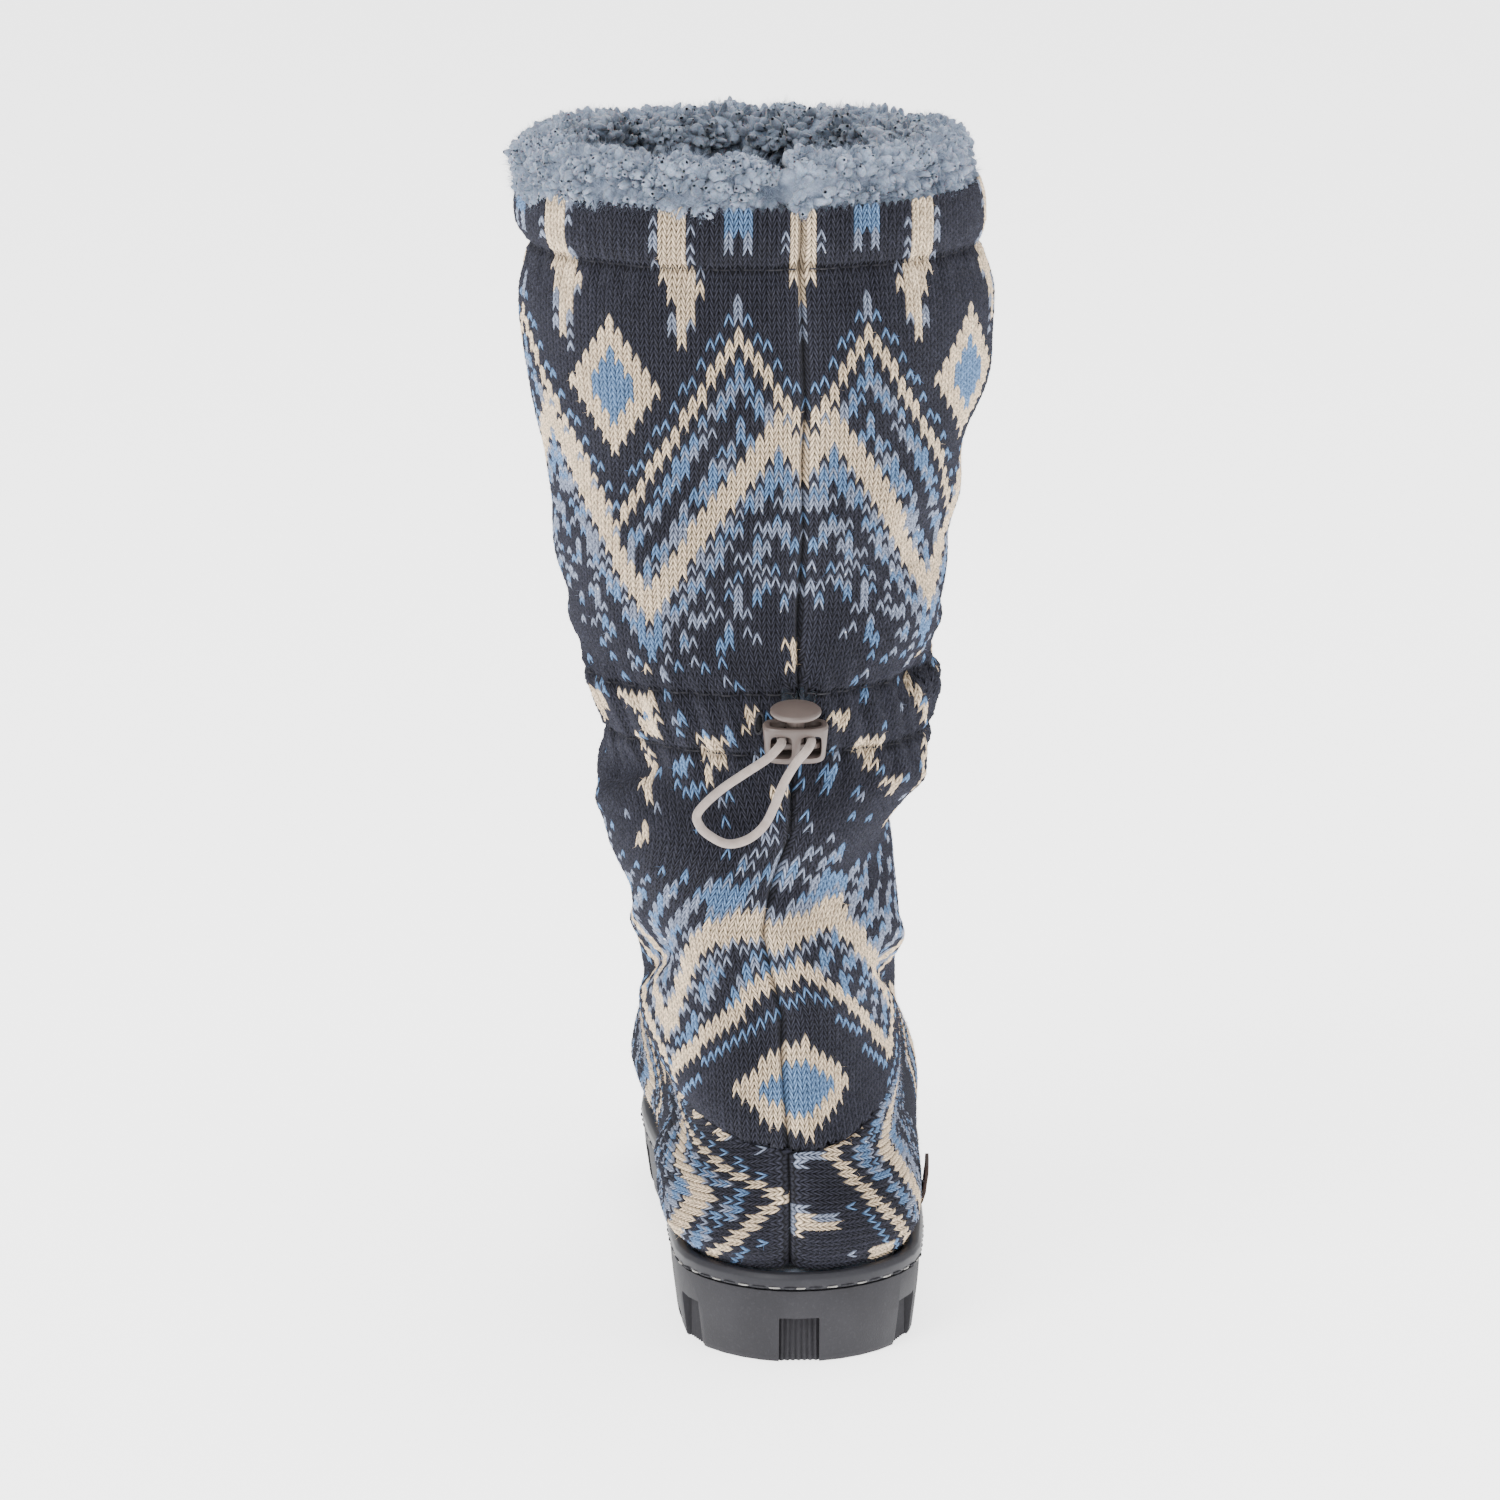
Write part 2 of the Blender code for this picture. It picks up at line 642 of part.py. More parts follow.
def make_drawcord(surface):
    """Round elastic cord: out of the outer window, round the free loop, in at the other."""
    aside, cord = cord_in_lock()
    back = LOCK_DEPTH / 2 + CORD_TAIL
    through = [lock_place((aside, y, cord)) for y in (back, 0.0, -LOCK_DEPTH / 2)]
    home = [lock_place((-aside, y, cord)) for y in (-LOCK_DEPTH / 2, 0.0, back)]
    points = smooth_path(through + [Vector(point) for point in CORD_LOOP] + home, CORD_STEP)
    curve = bpy.data.curves.new("drawcord", "CURVE")
    curve.dimensions = "3D"
    curve.bevel_depth = CORD_DIAMETER / 2
    curve.bevel_resolution = 2
    curve.use_fill_caps = True
    spline = curve.splines.new("POLY")
    spline.points.add(len(points) - 1)
    for slot, point in zip(spline.points, points):
        slot.co = (*point, 1.0)
    curve.materials.append(surface)
    made = bpy.data.objects.new("drawcord", curve)
    bpy.context.scene.collection.objects.link(made)
    return made


def smooth_path(route, spacing):
    """Evenly spaced points on a smooth curve through the route's points."""
    dense = []
    for k in range(len(route) - 1):
        p0, p1 = route[max(k - 1, 0)], route[k]
        p2, p3 = route[k + 1], route[min(k + 2, len(route) - 1)]
        for step in range(12):
            t = step / 12
            dense.append(0.5 * ((2 * p1) + (p2 - p0) * t + (2 * p0 - 5 * p1 + 4 * p2 - p3) * t**2
                                + (3 * p1 - p0 - 3 * p2 + p3) * t**3))
    dense.append(route[-1])
    length = sum((b - a).length for a, b in zip(dense, dense[1:]))
    count = max(2, round(length / spacing))
    points, travelled, wanted = [dense[0]], 0.0, length / count
    for a, b in zip(dense, dense[1:]):
        step = (b - a).length
        while len(points) < count and travelled + step >= wanted * len(points):
            points.append(a + (b - a) * ((wanted * len(points) - travelled) / step))
        travelled += step
    points.append(dense[-1])
    return points


def side_point(y, z):
    """Point of the upper's outer side, from the rings."""
    rings = upper_rings(UPPER_STEPS)
    best = []
    for ring in rings:
        outer_side = ring[: UPPER_STEPS + 1]
        for a, b in zip(outer_side, outer_side[1:]):
            if a.y <= y <= b.y:
                best.append(a + (b - a) * ((y - a.y) / max(b.y - a.y, 1e-9)))
                break
    for a, b in zip(best, best[1:]):
        if a.z <= z <= b.z:
            return a + (b - a) * ((z - a.z) / (b.z - a.z))
    return best[-1]


def make_label(surface):
    """Bare tab that stands on the welt against the outer side, its top leaning out."""
    rows, columns = 6, 4
    low = sole_top(LABEL_ALONG) + GAP + WELT_HEIGHT + GAP
    verts = []
    for face_out in (0.0, LABEL_THICKNESS):
        for r in range(rows + 1):
            up = r / rows
            for c in range(columns + 1):
                y = LABEL_ALONG + LABEL_WIDTH * (c / columns - 0.5)
                point = side_point(y, low + LABEL_HEIGHT * up)
                stand = GAP * 2 + face_out + LABEL_FLARE * up**2
                verts.append(point + Vector((stand, 0.0, 0.0)))
    across, layer = columns + 1, (rows + 1) * (columns + 1)
    faces = []
    for r in range(rows):
        for c in range(columns):
            a = r * across + c
            faces.append((a, a + across, a + across + 1, a + 1))
            faces.append(tuple(layer + i for i in (a, a + 1, a + across + 1, a + across)))
    border = list(range(columns)) + [r * across + columns for r in range(rows)]
    border += [rows * across + c for c in range(columns, 0, -1)] + [r * across for r in range(rows, 0, -1)]
    for a, b in zip(border, border[1:] + border[:1]):
        faces.append((a, b, b + layer, a + layer))
    return add_mesh("side_label", verts, faces, surface)


def main():
    """Builds every piece of the shoe."""
    for old in list(bpy.data.objects):
        bpy.data.objects.remove(old)
    rubber = material("grey_rubber", (0.085, 0.085, 0.095), 0.65)
    knit = material("charcoal_knit", (0.05, 0.055, 0.085), 0.95)
    pile = material("blue_pile", (0.36, 0.44, 0.56), 0.98)
    footbed = material("footbed_pile", (0.30, 0.37, 0.48), 0.98)
    moulded = material("taupe_plastic", (0.20, 0.165, 0.145), 0.45)
    elastic = material("cream_elastic", (0.62, 0.55, 0.50), 0.7)
    leather = material("brown_tab", (0.045, 0.022, 0.018), 0.6)
    make_outsole(rubber)
    make_welt(rubber)
    make_insole(footbed)
    make_upper(knit)
    make_collar(pile)
    make_lock_body(moulded)
    make_lock_plunger(moulded)
    make_drawcord(elastic)
    make_label(leather)


main()
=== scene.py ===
"""Looks of the knit bootie slipper: stitch-by-stitch knit, pile, cord lock, cord and sole.

Metres, toe towards +Y, outer side towards +X. Round the shoe, a side's columns run from the
back (0) to the front (1). Knit rows are counted downwards from the seam of the casing.
"""
import math

import bpy
import numpy as np
from mathutils import Matrix, Vector


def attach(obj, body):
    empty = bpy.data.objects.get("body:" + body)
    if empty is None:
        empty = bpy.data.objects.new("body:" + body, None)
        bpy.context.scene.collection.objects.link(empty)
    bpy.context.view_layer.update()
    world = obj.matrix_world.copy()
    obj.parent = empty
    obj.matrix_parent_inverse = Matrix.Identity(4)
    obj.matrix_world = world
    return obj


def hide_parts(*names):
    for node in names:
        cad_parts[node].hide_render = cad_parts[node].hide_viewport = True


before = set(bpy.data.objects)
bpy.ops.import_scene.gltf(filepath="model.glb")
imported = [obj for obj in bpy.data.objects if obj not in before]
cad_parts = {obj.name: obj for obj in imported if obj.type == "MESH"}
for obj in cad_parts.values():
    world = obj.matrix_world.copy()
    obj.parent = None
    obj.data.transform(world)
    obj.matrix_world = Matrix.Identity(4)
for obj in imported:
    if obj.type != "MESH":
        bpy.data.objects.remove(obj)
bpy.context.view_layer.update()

# Sizes of the shoe
GAP = 0.0003
SOLE_LENGTH = 0.268
HEEL_SETBACK = 0.038
BALL_WIDTH = 0.092
OUTSOLE_HEIGHT = 0.0234
FOREFOOT_DROP = 0.0040
DROP_FROM = 0.25
DROP_OVER = 0.40
TOE_SPRING = 0.012
SPRING_FROM = 0.70
WELT_HEIGHT = 0.0054
WELT_WIDTH = 0.0042
WELT_LIP = 0.0006
WELT_GAP = 0.0005
WALL = 0.0030
INSTEP_HEIGHT = 0.0964
LEG_HEIGHT = 0.2960
CALF_WIDTH = 0.144
CALF_DEPTH = 0.108
LEG_AXIS = 0.0085
ROLL_HEIGHT = 0.0140
ROLL_WIDTH = 0.0190
ROLL_INWARDS = 0.0086
HEEL_ROUND = 0.135
TOE_ROUND = 0.230

SOLE_EDGES = np.array([
    # along, inner, outer
    (0.00, 0.350, 0.390), (0.12, 0.390, 0.425), (0.25, 0.405, 0.460), (0.40, 0.378, 0.475),
    (0.55, 0.380, 0.502), (0.70, 0.418, 0.530), (0.82, 0.432, 0.490), (1.00, 0.405, 0.330),
])
FOOT_RINGS = (
    # back_along, back_up, front_along, front_up, inner, outer, oval
    (0.0090, 0.118, 0.9800, 0.205, 0.464, 0.522, 0.00),
    (0.0010, 0.185, 0.9700, 0.325, 0.460, 0.516, 0.00),
    (-0.002, 0.250, 0.9150, 0.445, 0.446, 0.486, 0.05),
    (-0.002, 0.305, 0.8300, 0.565, 0.436, 0.448, 0.18),
    (-0.001, 0.355, 0.7250, 0.700, 0.422, 0.412, 0.40),
    (0.0010, 0.410, 0.6150, 0.850, 0.425, 0.395, 0.66),
    (0.0040, 0.461, 0.5150, 1.000, 0.455, 0.388, 0.88),
)
LEG_RINGS = (
    # up, tilt, back, front, centre, half
    (0.044, 1.00, -0.403, 0.718, -0.050, 0.2795),
    (0.095, 0.98, -0.389, 0.644, -0.047, 0.2736),
    (0.149, 0.92, -0.380, 0.588, -0.044, 0.2764),
    (0.209, 0.79, -0.377, 0.560, -0.071, 0.2900),
    (0.270, 0.60, -0.384, 0.537, -0.094, 0.3030),
    (0.328, 0.44, -0.403, 0.509, -0.080, 0.3380),
    (0.378, 0.31, -0.398, 0.481, -0.050, 0.3455),
    (0.421, 0.20, -0.398, 0.468, -0.051, 0.3500),
    (0.454, 0.16, -0.419, 0.477, -0.058, 0.3670),
    (0.4865, 0.13, -0.417, 0.468, -0.074, 0.3700),
    (0.527, 0.10, -0.435, 0.481, -0.083, 0.3960),
    (0.578, 0.06, -0.444, 0.491, -0.076, 0.4076),
    (0.628, 0.03, -0.458, 0.491, -0.092, 0.4208),
    (0.676, 0.00, -0.468, 0.495, -0.081, 0.4368),
    (0.726, 0.00, -0.477, 0.500, -0.074, 0.4458),
    (0.777, 0.00, -0.491, 0.514, -0.075, 0.4800),
    (0.831, 0.00, -0.500, 0.523, -0.075, 0.4955),
    (0.885, 0.00, -0.505, 0.523, -0.075, 0.5017),
    (0.934, 0.00, -0.486, 0.500, -0.0795, 0.4788),
    (0.959, 0.00, -0.519, 0.528, -0.088, 0.4965),
    (0.985, 0.00, -0.519, 0.528, -0.090, 0.4948),
    (1.000, 0.00, -0.500, 0.509, -0.089, 0.4837),
)
SEAM_RING = 8
CASING_RING = 27
CHANNEL_RINGS = (16, 18)

SEAM_LINE = np.array([
    # height, x of the seam down the back
    (0.0000, -0.0028), (0.0385, -0.0030), (0.0530, -0.0033), (0.0663, -0.0038), (0.0886, -0.0040),
    (0.1089, -0.0049), (0.1231, -0.0092), (0.1359, -0.0110), (0.1486, -0.0074), (0.1641, -0.0029),
    (0.1819, -0.0011), (0.2105, 0.0000), (0.2275, 0.0004), (0.2531, 0.0009), (0.2769, 0.0017),
    (0.3038, 0.0015), (0.3425, 0.0003), (0.3700, 0.0007),
])

# Knit: pitch of a stitch across and up, rows by which a stitch's middle lies lower than its
# sides (below zero: higher), and the yarn's relief
WALE = 0.00287
ROW = 0.00195
LEAN = -1.7
RELIEF = 0.00066

# Columns of one side and rows of the shoe's smooth skin
SHARP_COLUMNS = 161
SKIN_ROWS = 560

rng = np.random.default_rng(7)


def blend_table(rows, places):
    """Values of a table at places in its first column, on a smooth curve through its rows."""
    rows = np.asarray(rows, float)
    x = rows[:, 0]
    k = np.clip(np.searchsorted(x, places, side="left") - 1, 0, len(x) - 2)
    before, after = np.maximum(k - 1, 0), np.minimum(k + 2, len(x) - 1)
    span = x[k + 1] - x[k]
    t = np.clip((places - x[k]) / span, 0.0, 1.0)[..., None]
    value = rows[:, 1:]
    rise_low = (value[k + 1] - value[before]) * (span / np.maximum(x[k + 1] - x[before], span))[..., None]
    rise_high = (value[after] - value[k]) * (span / np.maximum(x[after] - x[k], span))[..., None]
    return ((2 * t**3 - 3 * t**2 + 1) * value[k] + (t**3 - 2 * t**2 + t) * rise_low
            + (3 * t**2 - 2 * t**3) * value[k + 1] + (t**3 - t**2) * rise_high)


def smooth_step(low, high, value):
    """0 below low, 1 above high, smooth between."""
    t = np.clip((value - low) / (high - low), 0.0, 1.0)
    return t * t * (3 - 2 * t)


def bell(value, width):
    """1 at 0, falling smoothly to nothing past the width."""
    return np.exp(-((value / width) ** 2))


def unit(vectors):
    """Vectors made 1 long."""
    return vectors / np.maximum(np.linalg.norm(vectors, axis=-1), 1e-12)[..., None]


def circle(sides, first, second):
    """Directions round each place, in the plane of its two directions."""
    turn = 2 * np.pi * np.arange(sides) / sides
    return np.cos(turn)[:, None] * first[:, None] + np.sin(turn)[:, None] * second[:, None]


def right_of(ways):
    """Level directions to the right of level ways, outwards for a ring that runs from the
    back along the outer side."""
    return np.stack([ways[:, 1], -ways[:, 0]] + [np.zeros(len(ways))] * (ways.shape[1] - 2), 1)


def loop_columns():
    """Share of the way to the toe and side of each point of a whole ring, from the back
    along the outer side."""
    half = 0.5 - 0.5 * np.cos(np.pi * np.arange(SHARP_COLUMNS) / (SHARP_COLUMNS - 1))
    share = np.concatenate([half, half[-2:0:-1]])
    side = np.concatenate([np.ones(SHARP_COLUMNS), -np.ones(SHARP_COLUMNS - 2)])
    return share, side


def end_round(share, reach, power):
    """Narrows an outline to nothing at its end, like the end of an oval."""
    t = np.minimum(share / reach, 1.0)
    return (1.0 - (1.0 - t) ** power) ** (1.0 / power)


def sole_reach(share, side):
    """How far the sole's edge lies from the middle line."""
    edges = blend_table(SOLE_EDGES, share)
    ends = end_round(share, HEEL_ROUND, 2.0) * end_round(1.0 - share, TOE_ROUND, 2.15)
    return BALL_WIDTH * np.where(side > 0, edges[..., 1], edges[..., 0]) * ends


def along(share):
    """Y of a share of the sole's length, from the back of the heel."""
    return SOLE_LENGTH * share - HEEL_SETBACK


def sole_outline(inset):
    """The sole's edge as a closed ring of points (x, y), moved inwards by inset."""
    share, side = loop_columns()
    edge = np.stack([side * sole_reach(share, side), along(share)], 1)
    return edge - right_of(unit(np.roll(edge, -1, 0) - np.roll(edge, 1, 0))) * inset


def sole_top(y):
    """Height of the outsole's top."""
    share = (y + HEEL_SETBACK) / SOLE_LENGTH
    drop = np.clip((share - DROP_FROM) / DROP_OVER, 0.0, 1.0)
    toe = np.clip((share - SPRING_FROM) / (1.0 - SPRING_FROM), 0.0, 1.1)
    return OUTSOLE_HEIGHT - FOREFOOT_DROP * (3 - 2 * drop) * drop**2 + TOE_SPRING * toe**2


def upper_rings():
    """Outer surface of the upper as rings, from the outsole to the collar."""
    share, side = loop_columns()
    foot_line = sole_outline(WELT_WIDTH + WELT_GAP)
    rings = []
    for lift in (GAP, WELT_HEIGHT):
        rings.append(np.column_stack([foot_line, sole_top(foot_line[:, 1]) + lift]))
    sample = np.linspace(0.0, 1.0, 41)
    widest = {s: sole_reach(sample, np.full(41, s)).max() for s in (1, -1)}
    sole_shape = sole_reach(share, side) / np.where(side > 0, widest[1], widest[-1])
    oval_shape = 2.0 * np.sqrt(np.maximum(share * (1.0 - share), 0.0))
    for back_along, back_up, front_along, front_up, inner, outer, oval in FOOT_RINGS:
        y = along(back_along) + (along(front_along) - along(back_along)) * share
        z = OUTSOLE_HEIGHT + INSTEP_HEIGHT * (back_up + (front_up - back_up) * share)
        x = side * BALL_WIDTH * np.where(side > 0, outer, inner)
        rings.append(np.column_stack([x * (sole_shape * (1 - oval) + oval_shape * oval), y, z]))
    ankle = FOOT_RINGS[-1]
    for up, tilt, back, front, centre, half in LEG_RINGS:
        y = LEG_AXIS + CALF_DEPTH * (back + (front - back) * share)
        z = OUTSOLE_HEIGHT + INSTEP_HEIGHT * (ankle[1] + (ankle[3] - ankle[1]) * tilt * share)
        x = CALF_WIDTH * (centre + side * half * oval_shape)
        rings.append(np.column_stack([x, y, z + LEG_HEIGHT * up]))
    return np.array(rings)


# Folds of the slack shaft: soft troughs (negative) and ridges (positive) on its skin
FOLDS = (
    # side, share round from the back, height, slope, half length, half width, depth
    (-1, 0.42, 0.118, -0.45, 0.020, 0.0055, -0.0054),
    (-1, 0.46, 0.131, -0.50, 0.020, 0.0050, 0.0030),
    (1, 0.44, 0.112, -0.55, 0.020, 0.0055, -0.0054),
    (1, 0.40, 0.126, -0.50, 0.018, 0.0050, 0.0027),
    (-1, 0.30, 0.052, 0.10, 0.020, 0.0060, 0.0035),
    (-1, 0.34, 0.064, 0.20, 0.018, 0.0038, -0.0030),
    (-1, 0.34, 0.183, -0.30, 0.018, 0.0042, -0.0032),
    (-1, 0.38, 0.174, -0.35, 0.020, 0.0045, 0.0024),
    (1, 0.40, 0.216, 0.50, 0.016, 0.0042, -0.0035),
    (1, 0.46, 0.222, 0.60, 0.014, 0.0040, 0.0027),
    (1, 0.36, 0.180, -0.25, 0.016, 0.0045, 0.0024),
    (-1, 0.40, 0.212, 0.10, 0.018, 0.0050, 0.0024),
    (-1, 0.62, 0.240, 0.20, 0.030, 0.0070, -0.0030),
    (1, 0.66, 0.250, -0.20, 0.030, 0.0070, -0.0027),
    (-1, 0.80, 0.150, 0.25, 0.030, 0.0060, -0.0041),
    (1, 0.82, 0.160, -0.25, 0.030, 0.0060, -0.0041),
    (1, 0.86, 0.135, 0.15, 0.026, 0.0060, -0.0035),
    (-1, 0.86, 0.128, 0.15, 0.026, 0.0060, -0.0035),
)

# Small upright folds where the cord and the seams gather the knit, and how wide they are,
# how fast they grow and fade round the shoe, and how their width drifts
PUCKERS = (
    # height, reach up and down, depth
    (0.2085, 0.0100, 0.0011), (0.1920, 0.0100, 0.0010), (0.3425, 0.0060, 0.0006),
)
PUCKER_WIDTH = 0.0017
PUCKER_CHANGE = 0.0043
PUCKER_DRIFT = 0.011

# Slow unevenness of the slack shaft: its depth, its waves up, and round (bend, across, deep),
# and the heights where it starts, is full, fades and ends
UNEVEN_DEPTH = 0.0015
UNEVEN_UP = 0.0075
UNEVEN_ROUND = (0.021, 0.013, 0.019)
UNEVEN_BETWEEN = (0.06, 0.09, 0.29, 0.33)


def skin_normals(skin):
    """Unit normals of rings of points that close on themselves, pointing out."""
    round_way = np.roll(skin, -1, 1) - np.roll(skin, 1, 1)
    up = np.gradient(skin, axis=0)
    return unit(np.cross(round_way, up))


def make_skin():
    """Smooth outer surface through the rings with its folds, and each row's place in the
    stack of rings."""
    rings = upper_rings()
    steps = np.linalg.norm(np.diff(rings, axis=0), axis=2).mean(1)
    heights = np.concatenate([[0.0], np.cumsum(steps)])
    table = np.column_stack([heights, rings.reshape(len(rings), -1)])
    places = np.linspace(0.0, heights[-1], SKIN_ROWS)
    skin = blend_table(table, places).reshape(SKIN_ROWS, -1, 3)
    ring_place = np.interp(places, heights, np.arange(len(rings)))
    share, side = loop_columns()
    turn = np.arccos(1 - 2 * share) / np.pi
    girth = np.linalg.norm(np.diff(skin, axis=1), axis=2).sum(1)[:, None] / 2
    x, y, z = skin[..., 0], skin[..., 1], skin[..., 2]
    push = np.zeros(z.shape)
    for fold_side, where, height, slope, length, width, depth in FOLDS:
        aside = (turn - where) * girth
        up = z - height
        tilt = math.hypot(1.0, slope)
        run = (aside + slope * up) / tilt
        across = (up - slope * aside) / tilt
        push += depth * np.exp(-((across / width) ** 2) - (run / length) ** 4) * (side == fold_side)
    round_way = turn * girth * side
    wave = np.sin(round_way / PUCKER_WIDTH + 1.3 * np.sin(round_way / PUCKER_DRIFT))
    wave *= np.sin(round_way / PUCKER_CHANGE + 0.7)
    for level, reach, depth in PUCKERS:
        push += depth * wave * bell(z - level, reach)
    start, full, fade, end = UNEVEN_BETWEEN
    bend, across, deep = UNEVEN_ROUND
    swell = np.sin(z / UNEVEN_UP + 1.7 * np.sin(x / bend) + 0.6) * np.sin(x / across + y / deep)
    push += UNEVEN_DEPTH * swell * smooth_step(start, full, z) * (1 - smooth_step(fade, end, z))
    return skin + skin_normals(skin) * push[..., None], ring_place


# Step of a panel's tables round the shoe, and how many columns either side of the back its
# seam is looked for in
TABLE_STEP = 0.001
SEAM_SEARCH = 40


class Panel:
    """A part of the skin on one side of the back seam, laid out by level and by the distance
    q round the shoe from the seam."""

    def __init__(self, skin, measure, levels, side, ring_place, ring_low, ring_high):
        self.levels = levels
        self.seams = []
        rows = np.arange(len(skin))
        count = skin.shape[1]
        at = np.stack([np.interp(levels, measure[:, m], rows) for m in range(count)], 1)
        base = np.clip(at.astype(int), 0, len(skin) - 2)
        part = (at - base)[..., None]
        order = np.arange(count)[None, :]
        section = skin[base, order] * (1 - part) + skin[base + 1, order] * part
        ring = np.interp(at, rows, ring_place)
        around = np.concatenate([section, section[:, :1]], 1)
        step = np.linalg.norm(np.diff(around, axis=1), axis=2)
        arc = np.concatenate([np.zeros((len(levels), 1)), np.cumsum(step, 1)], 1)
        whole = arc[:, -1]
        self.girth = whole / 2
        grid = np.arange(0.0, self.girth.max() + TABLE_STEP, TABLE_STEP)
        near = np.arange(-SEAM_SEARCH, SEAM_SEARCH + 1)
        self.points = np.zeros((len(levels), len(grid), 3))
        place = np.zeros((len(levels), len(grid)))
        for k in range(len(levels)):
            back = section[k, near % count]
            back_arc = arc[k, near % count] - np.where(near < 0, whole[k], 0.0)
            seam_x = np.interp(back[SEAM_SEARCH, 2], SEAM_LINE[:, 0], SEAM_LINE[:, 1])
            start = np.interp(seam_x, back[:, 0], back_arc)
            wanted = (start + side * grid) % whole[k]
            for c in range(3):
                self.points[k, :, c] = np.interp(wanted, arc[k], around[k, :, c])
            place[k] = np.interp(wanted, arc[k], np.append(ring[k], ring[k, 0]))
        self.low = np.zeros(len(levels))
        self.high = self.girth.copy()
        above = ring_low > 0
        for k in range(len(levels)):
            reach = grid <= self.girth[k]
            over = (place[k] - ring_low) if above else (ring_high - place[k])
            outside = np.flatnonzero((over < 0) & reach)
            if not len(outside):
                continue
            if above:
                first = outside[0]
                self.high[k] = 0.0 if first == 0 else self.crossing(grid, over, first - 1)
            else:
                last = outside[-1]
                whole_way = last >= reach.sum() - 1
                self.low[k] = self.girth[k] if whole_way else self.crossing(grid, over, last)
        round_way, up_way = np.gradient(self.points, axis=1), np.gradient(self.points, axis=0)
        self.normals = unit(np.cross(round_way, up_way) * side)

    @staticmethod
    def crossing(grid, over, k):
        """Distance at which a value changes sign between two places of the grid."""
        share = over[k] / (over[k] - over[k + 1])
        return grid[k] + TABLE_STEP * share

    def limits(self, level):
        """Lowest and highest distance that the panel has at a level."""
        return np.interp(level, self.levels, self.low), np.interp(level, self.levels, self.high)

    def place(self, level, q):
        """Points and normals at levels and distances."""
        row = (level - self.levels[0]) / (self.levels[1] - self.levels[0])
        row = np.clip(row, 0, len(self.levels) - 1.001)
        column = np.clip(q / TABLE_STEP, 0, self.points.shape[1] - 1.001)
        i, j = row.astype(int), column.astype(int)
        a, b = (row - i)[..., None], (column - j)[..., None]
        made = []
        for table in (self.points, self.normals):
            low = table[i, j] * (1 - b) + table[i, j + 1] * b
            high = table[i + 1, j] * (1 - b) + table[i + 1, j + 1] * b
            made.append(low * (1 - a) + high * a)
        return made


# Colours of the yarns and of the pile, linear
GROUND = (0.031, 0.032, 0.046)
CREAM = (0.86, 0.675, 0.475)
BLUE = (0.150, 0.262, 0.465)
GREY = (0.275, 0.315, 0.425)
# PILE_DARK is the pile's colour with painted shade, as in its depths
PILE_LIGHT = (0.245, 0.290, 0.375)
PILE_DARK = (0.085, 0.110, 0.155)
YARNS = np.array([GROUND, CREAM, BLUE, GREY])
DARK_YARN, CREAM_YARN, BLUE_YARN, GREY_YARN = range(4)

# The knit pattern repeats round the shaft. Its phase is 0 in the valleys of the zigzags and
# half a repeat at their peaks
REPEAT = 28
PEAK = REPEAT / 2
FRONT_PHASE = -42
UPPER_LINES = (
    # row at the peak, row at the valley, rows thick, yarn, dashed, zigzag further on
    (5.0, 37.0, 2, BLUE_YARN, True, False),
    (9.0, 41.0, 3, CREAM_YARN, False, False),
    (21.0, 50.5, 1, GREY_YARN, True, True),
    (22.0, 51.5, 6, CREAM_YARN, False, True),
    (28.0, 57.5, 2, GREY_YARN, True, True),
)
# Wales by which the thick line's zigzag stands further on at the back
FURTHER_ON = 4.0
# Middle row of a diamond, then half its height and width, and those of its blue middle
DIAMOND = (18.5, 10.8, 5.3, 6.4, 3.2)
HEEL_DIAMOND = (131.5, 8.2, 6.2, 4.4, 3.8)
# Below the drawcord the zigzag stands the other way up. Wales count from the back seam
LOWER_LINES = (
    # rows under the crest or the roof, rows thick, yarn, dashed, follows the crest
    (-1.5, 2, GREY_YARN, True, True),
    (0.0, 5, CREAM_YARN, False, True),
    (5.0, 2, GREY_YARN, True, True),
    (0.0, 3, CREAM_YARN, False, False),
    (5.0, 2, BLUE_YARN, True, False),
)
CREST = {
    # wales from the seam, row of the thick line's top, on the outer and the inner side
    1: ((0.0, 105.5), (1.5, 104.5), (4.0, 103.0), (6.5, 102.0), (9.0, 105.5), (12.0, 110.5), (17.0, 119.0)),
    -1: ((0.0, 103.5), (1.0, 103.0), (5.0, 105.0), (8.3, 111.0), (12.0, 119.0), (14.0, 122.0)),
}
OUTER_REPEAT = 34
ROOF_TOP = 111.0
ROOF_MIDDLE = 2.5
ROOF_SLOPES = (1.45, 1.18)
ARROWS = (
    # wales from the seam, outer side counted up, top row, half width, rows deep, yarn
    (4.8, 70.5, 1.7, 4.0, CREAM_YARN), (8.0, 75.5, 2.0, 6.5, CREAM_YARN),
    (-5.4, 69.5, 1.1, 4.5, CREAM_YARN), (-9.4, 75.0, 2.1, 7.5, CREAM_YARN),
    (-1.6, 82.5, 1.5, 3.5, CREAM_YARN), (-0.8, 58.5, 0.9, 7.0, CREAM_YARN),
    (-19.0, 69.0, 2.6, 3.0, CREAM_YARN), (-17.0, 72.0, 1.4, 5.0, CREAM_YARN),
    (11.5, 83.0, 1.3, 2.5, CREAM_YARN), (-13.0, 79.0, 1.0, 5.0, BLUE_YARN),
    (-11.0, 83.0, 0.8, 3.0, BLUE_YARN), (3.2, 80.0, 0.9, 5.0, BLUE_YARN),
    (7.4, 68.0, 0.8, 2.2, BLUE_YARN), (-7.6, 72.5, 0.9, 3.0, BLUE_YARN),
    (-13.5, 71.0, 0.8, 3.0, BLUE_YARN), (25.5, 64.0, 2.2, 7.0, CREAM_YARN),
    (-27.0, 70.0, 2.2, 7.0, CREAM_YARN),
)

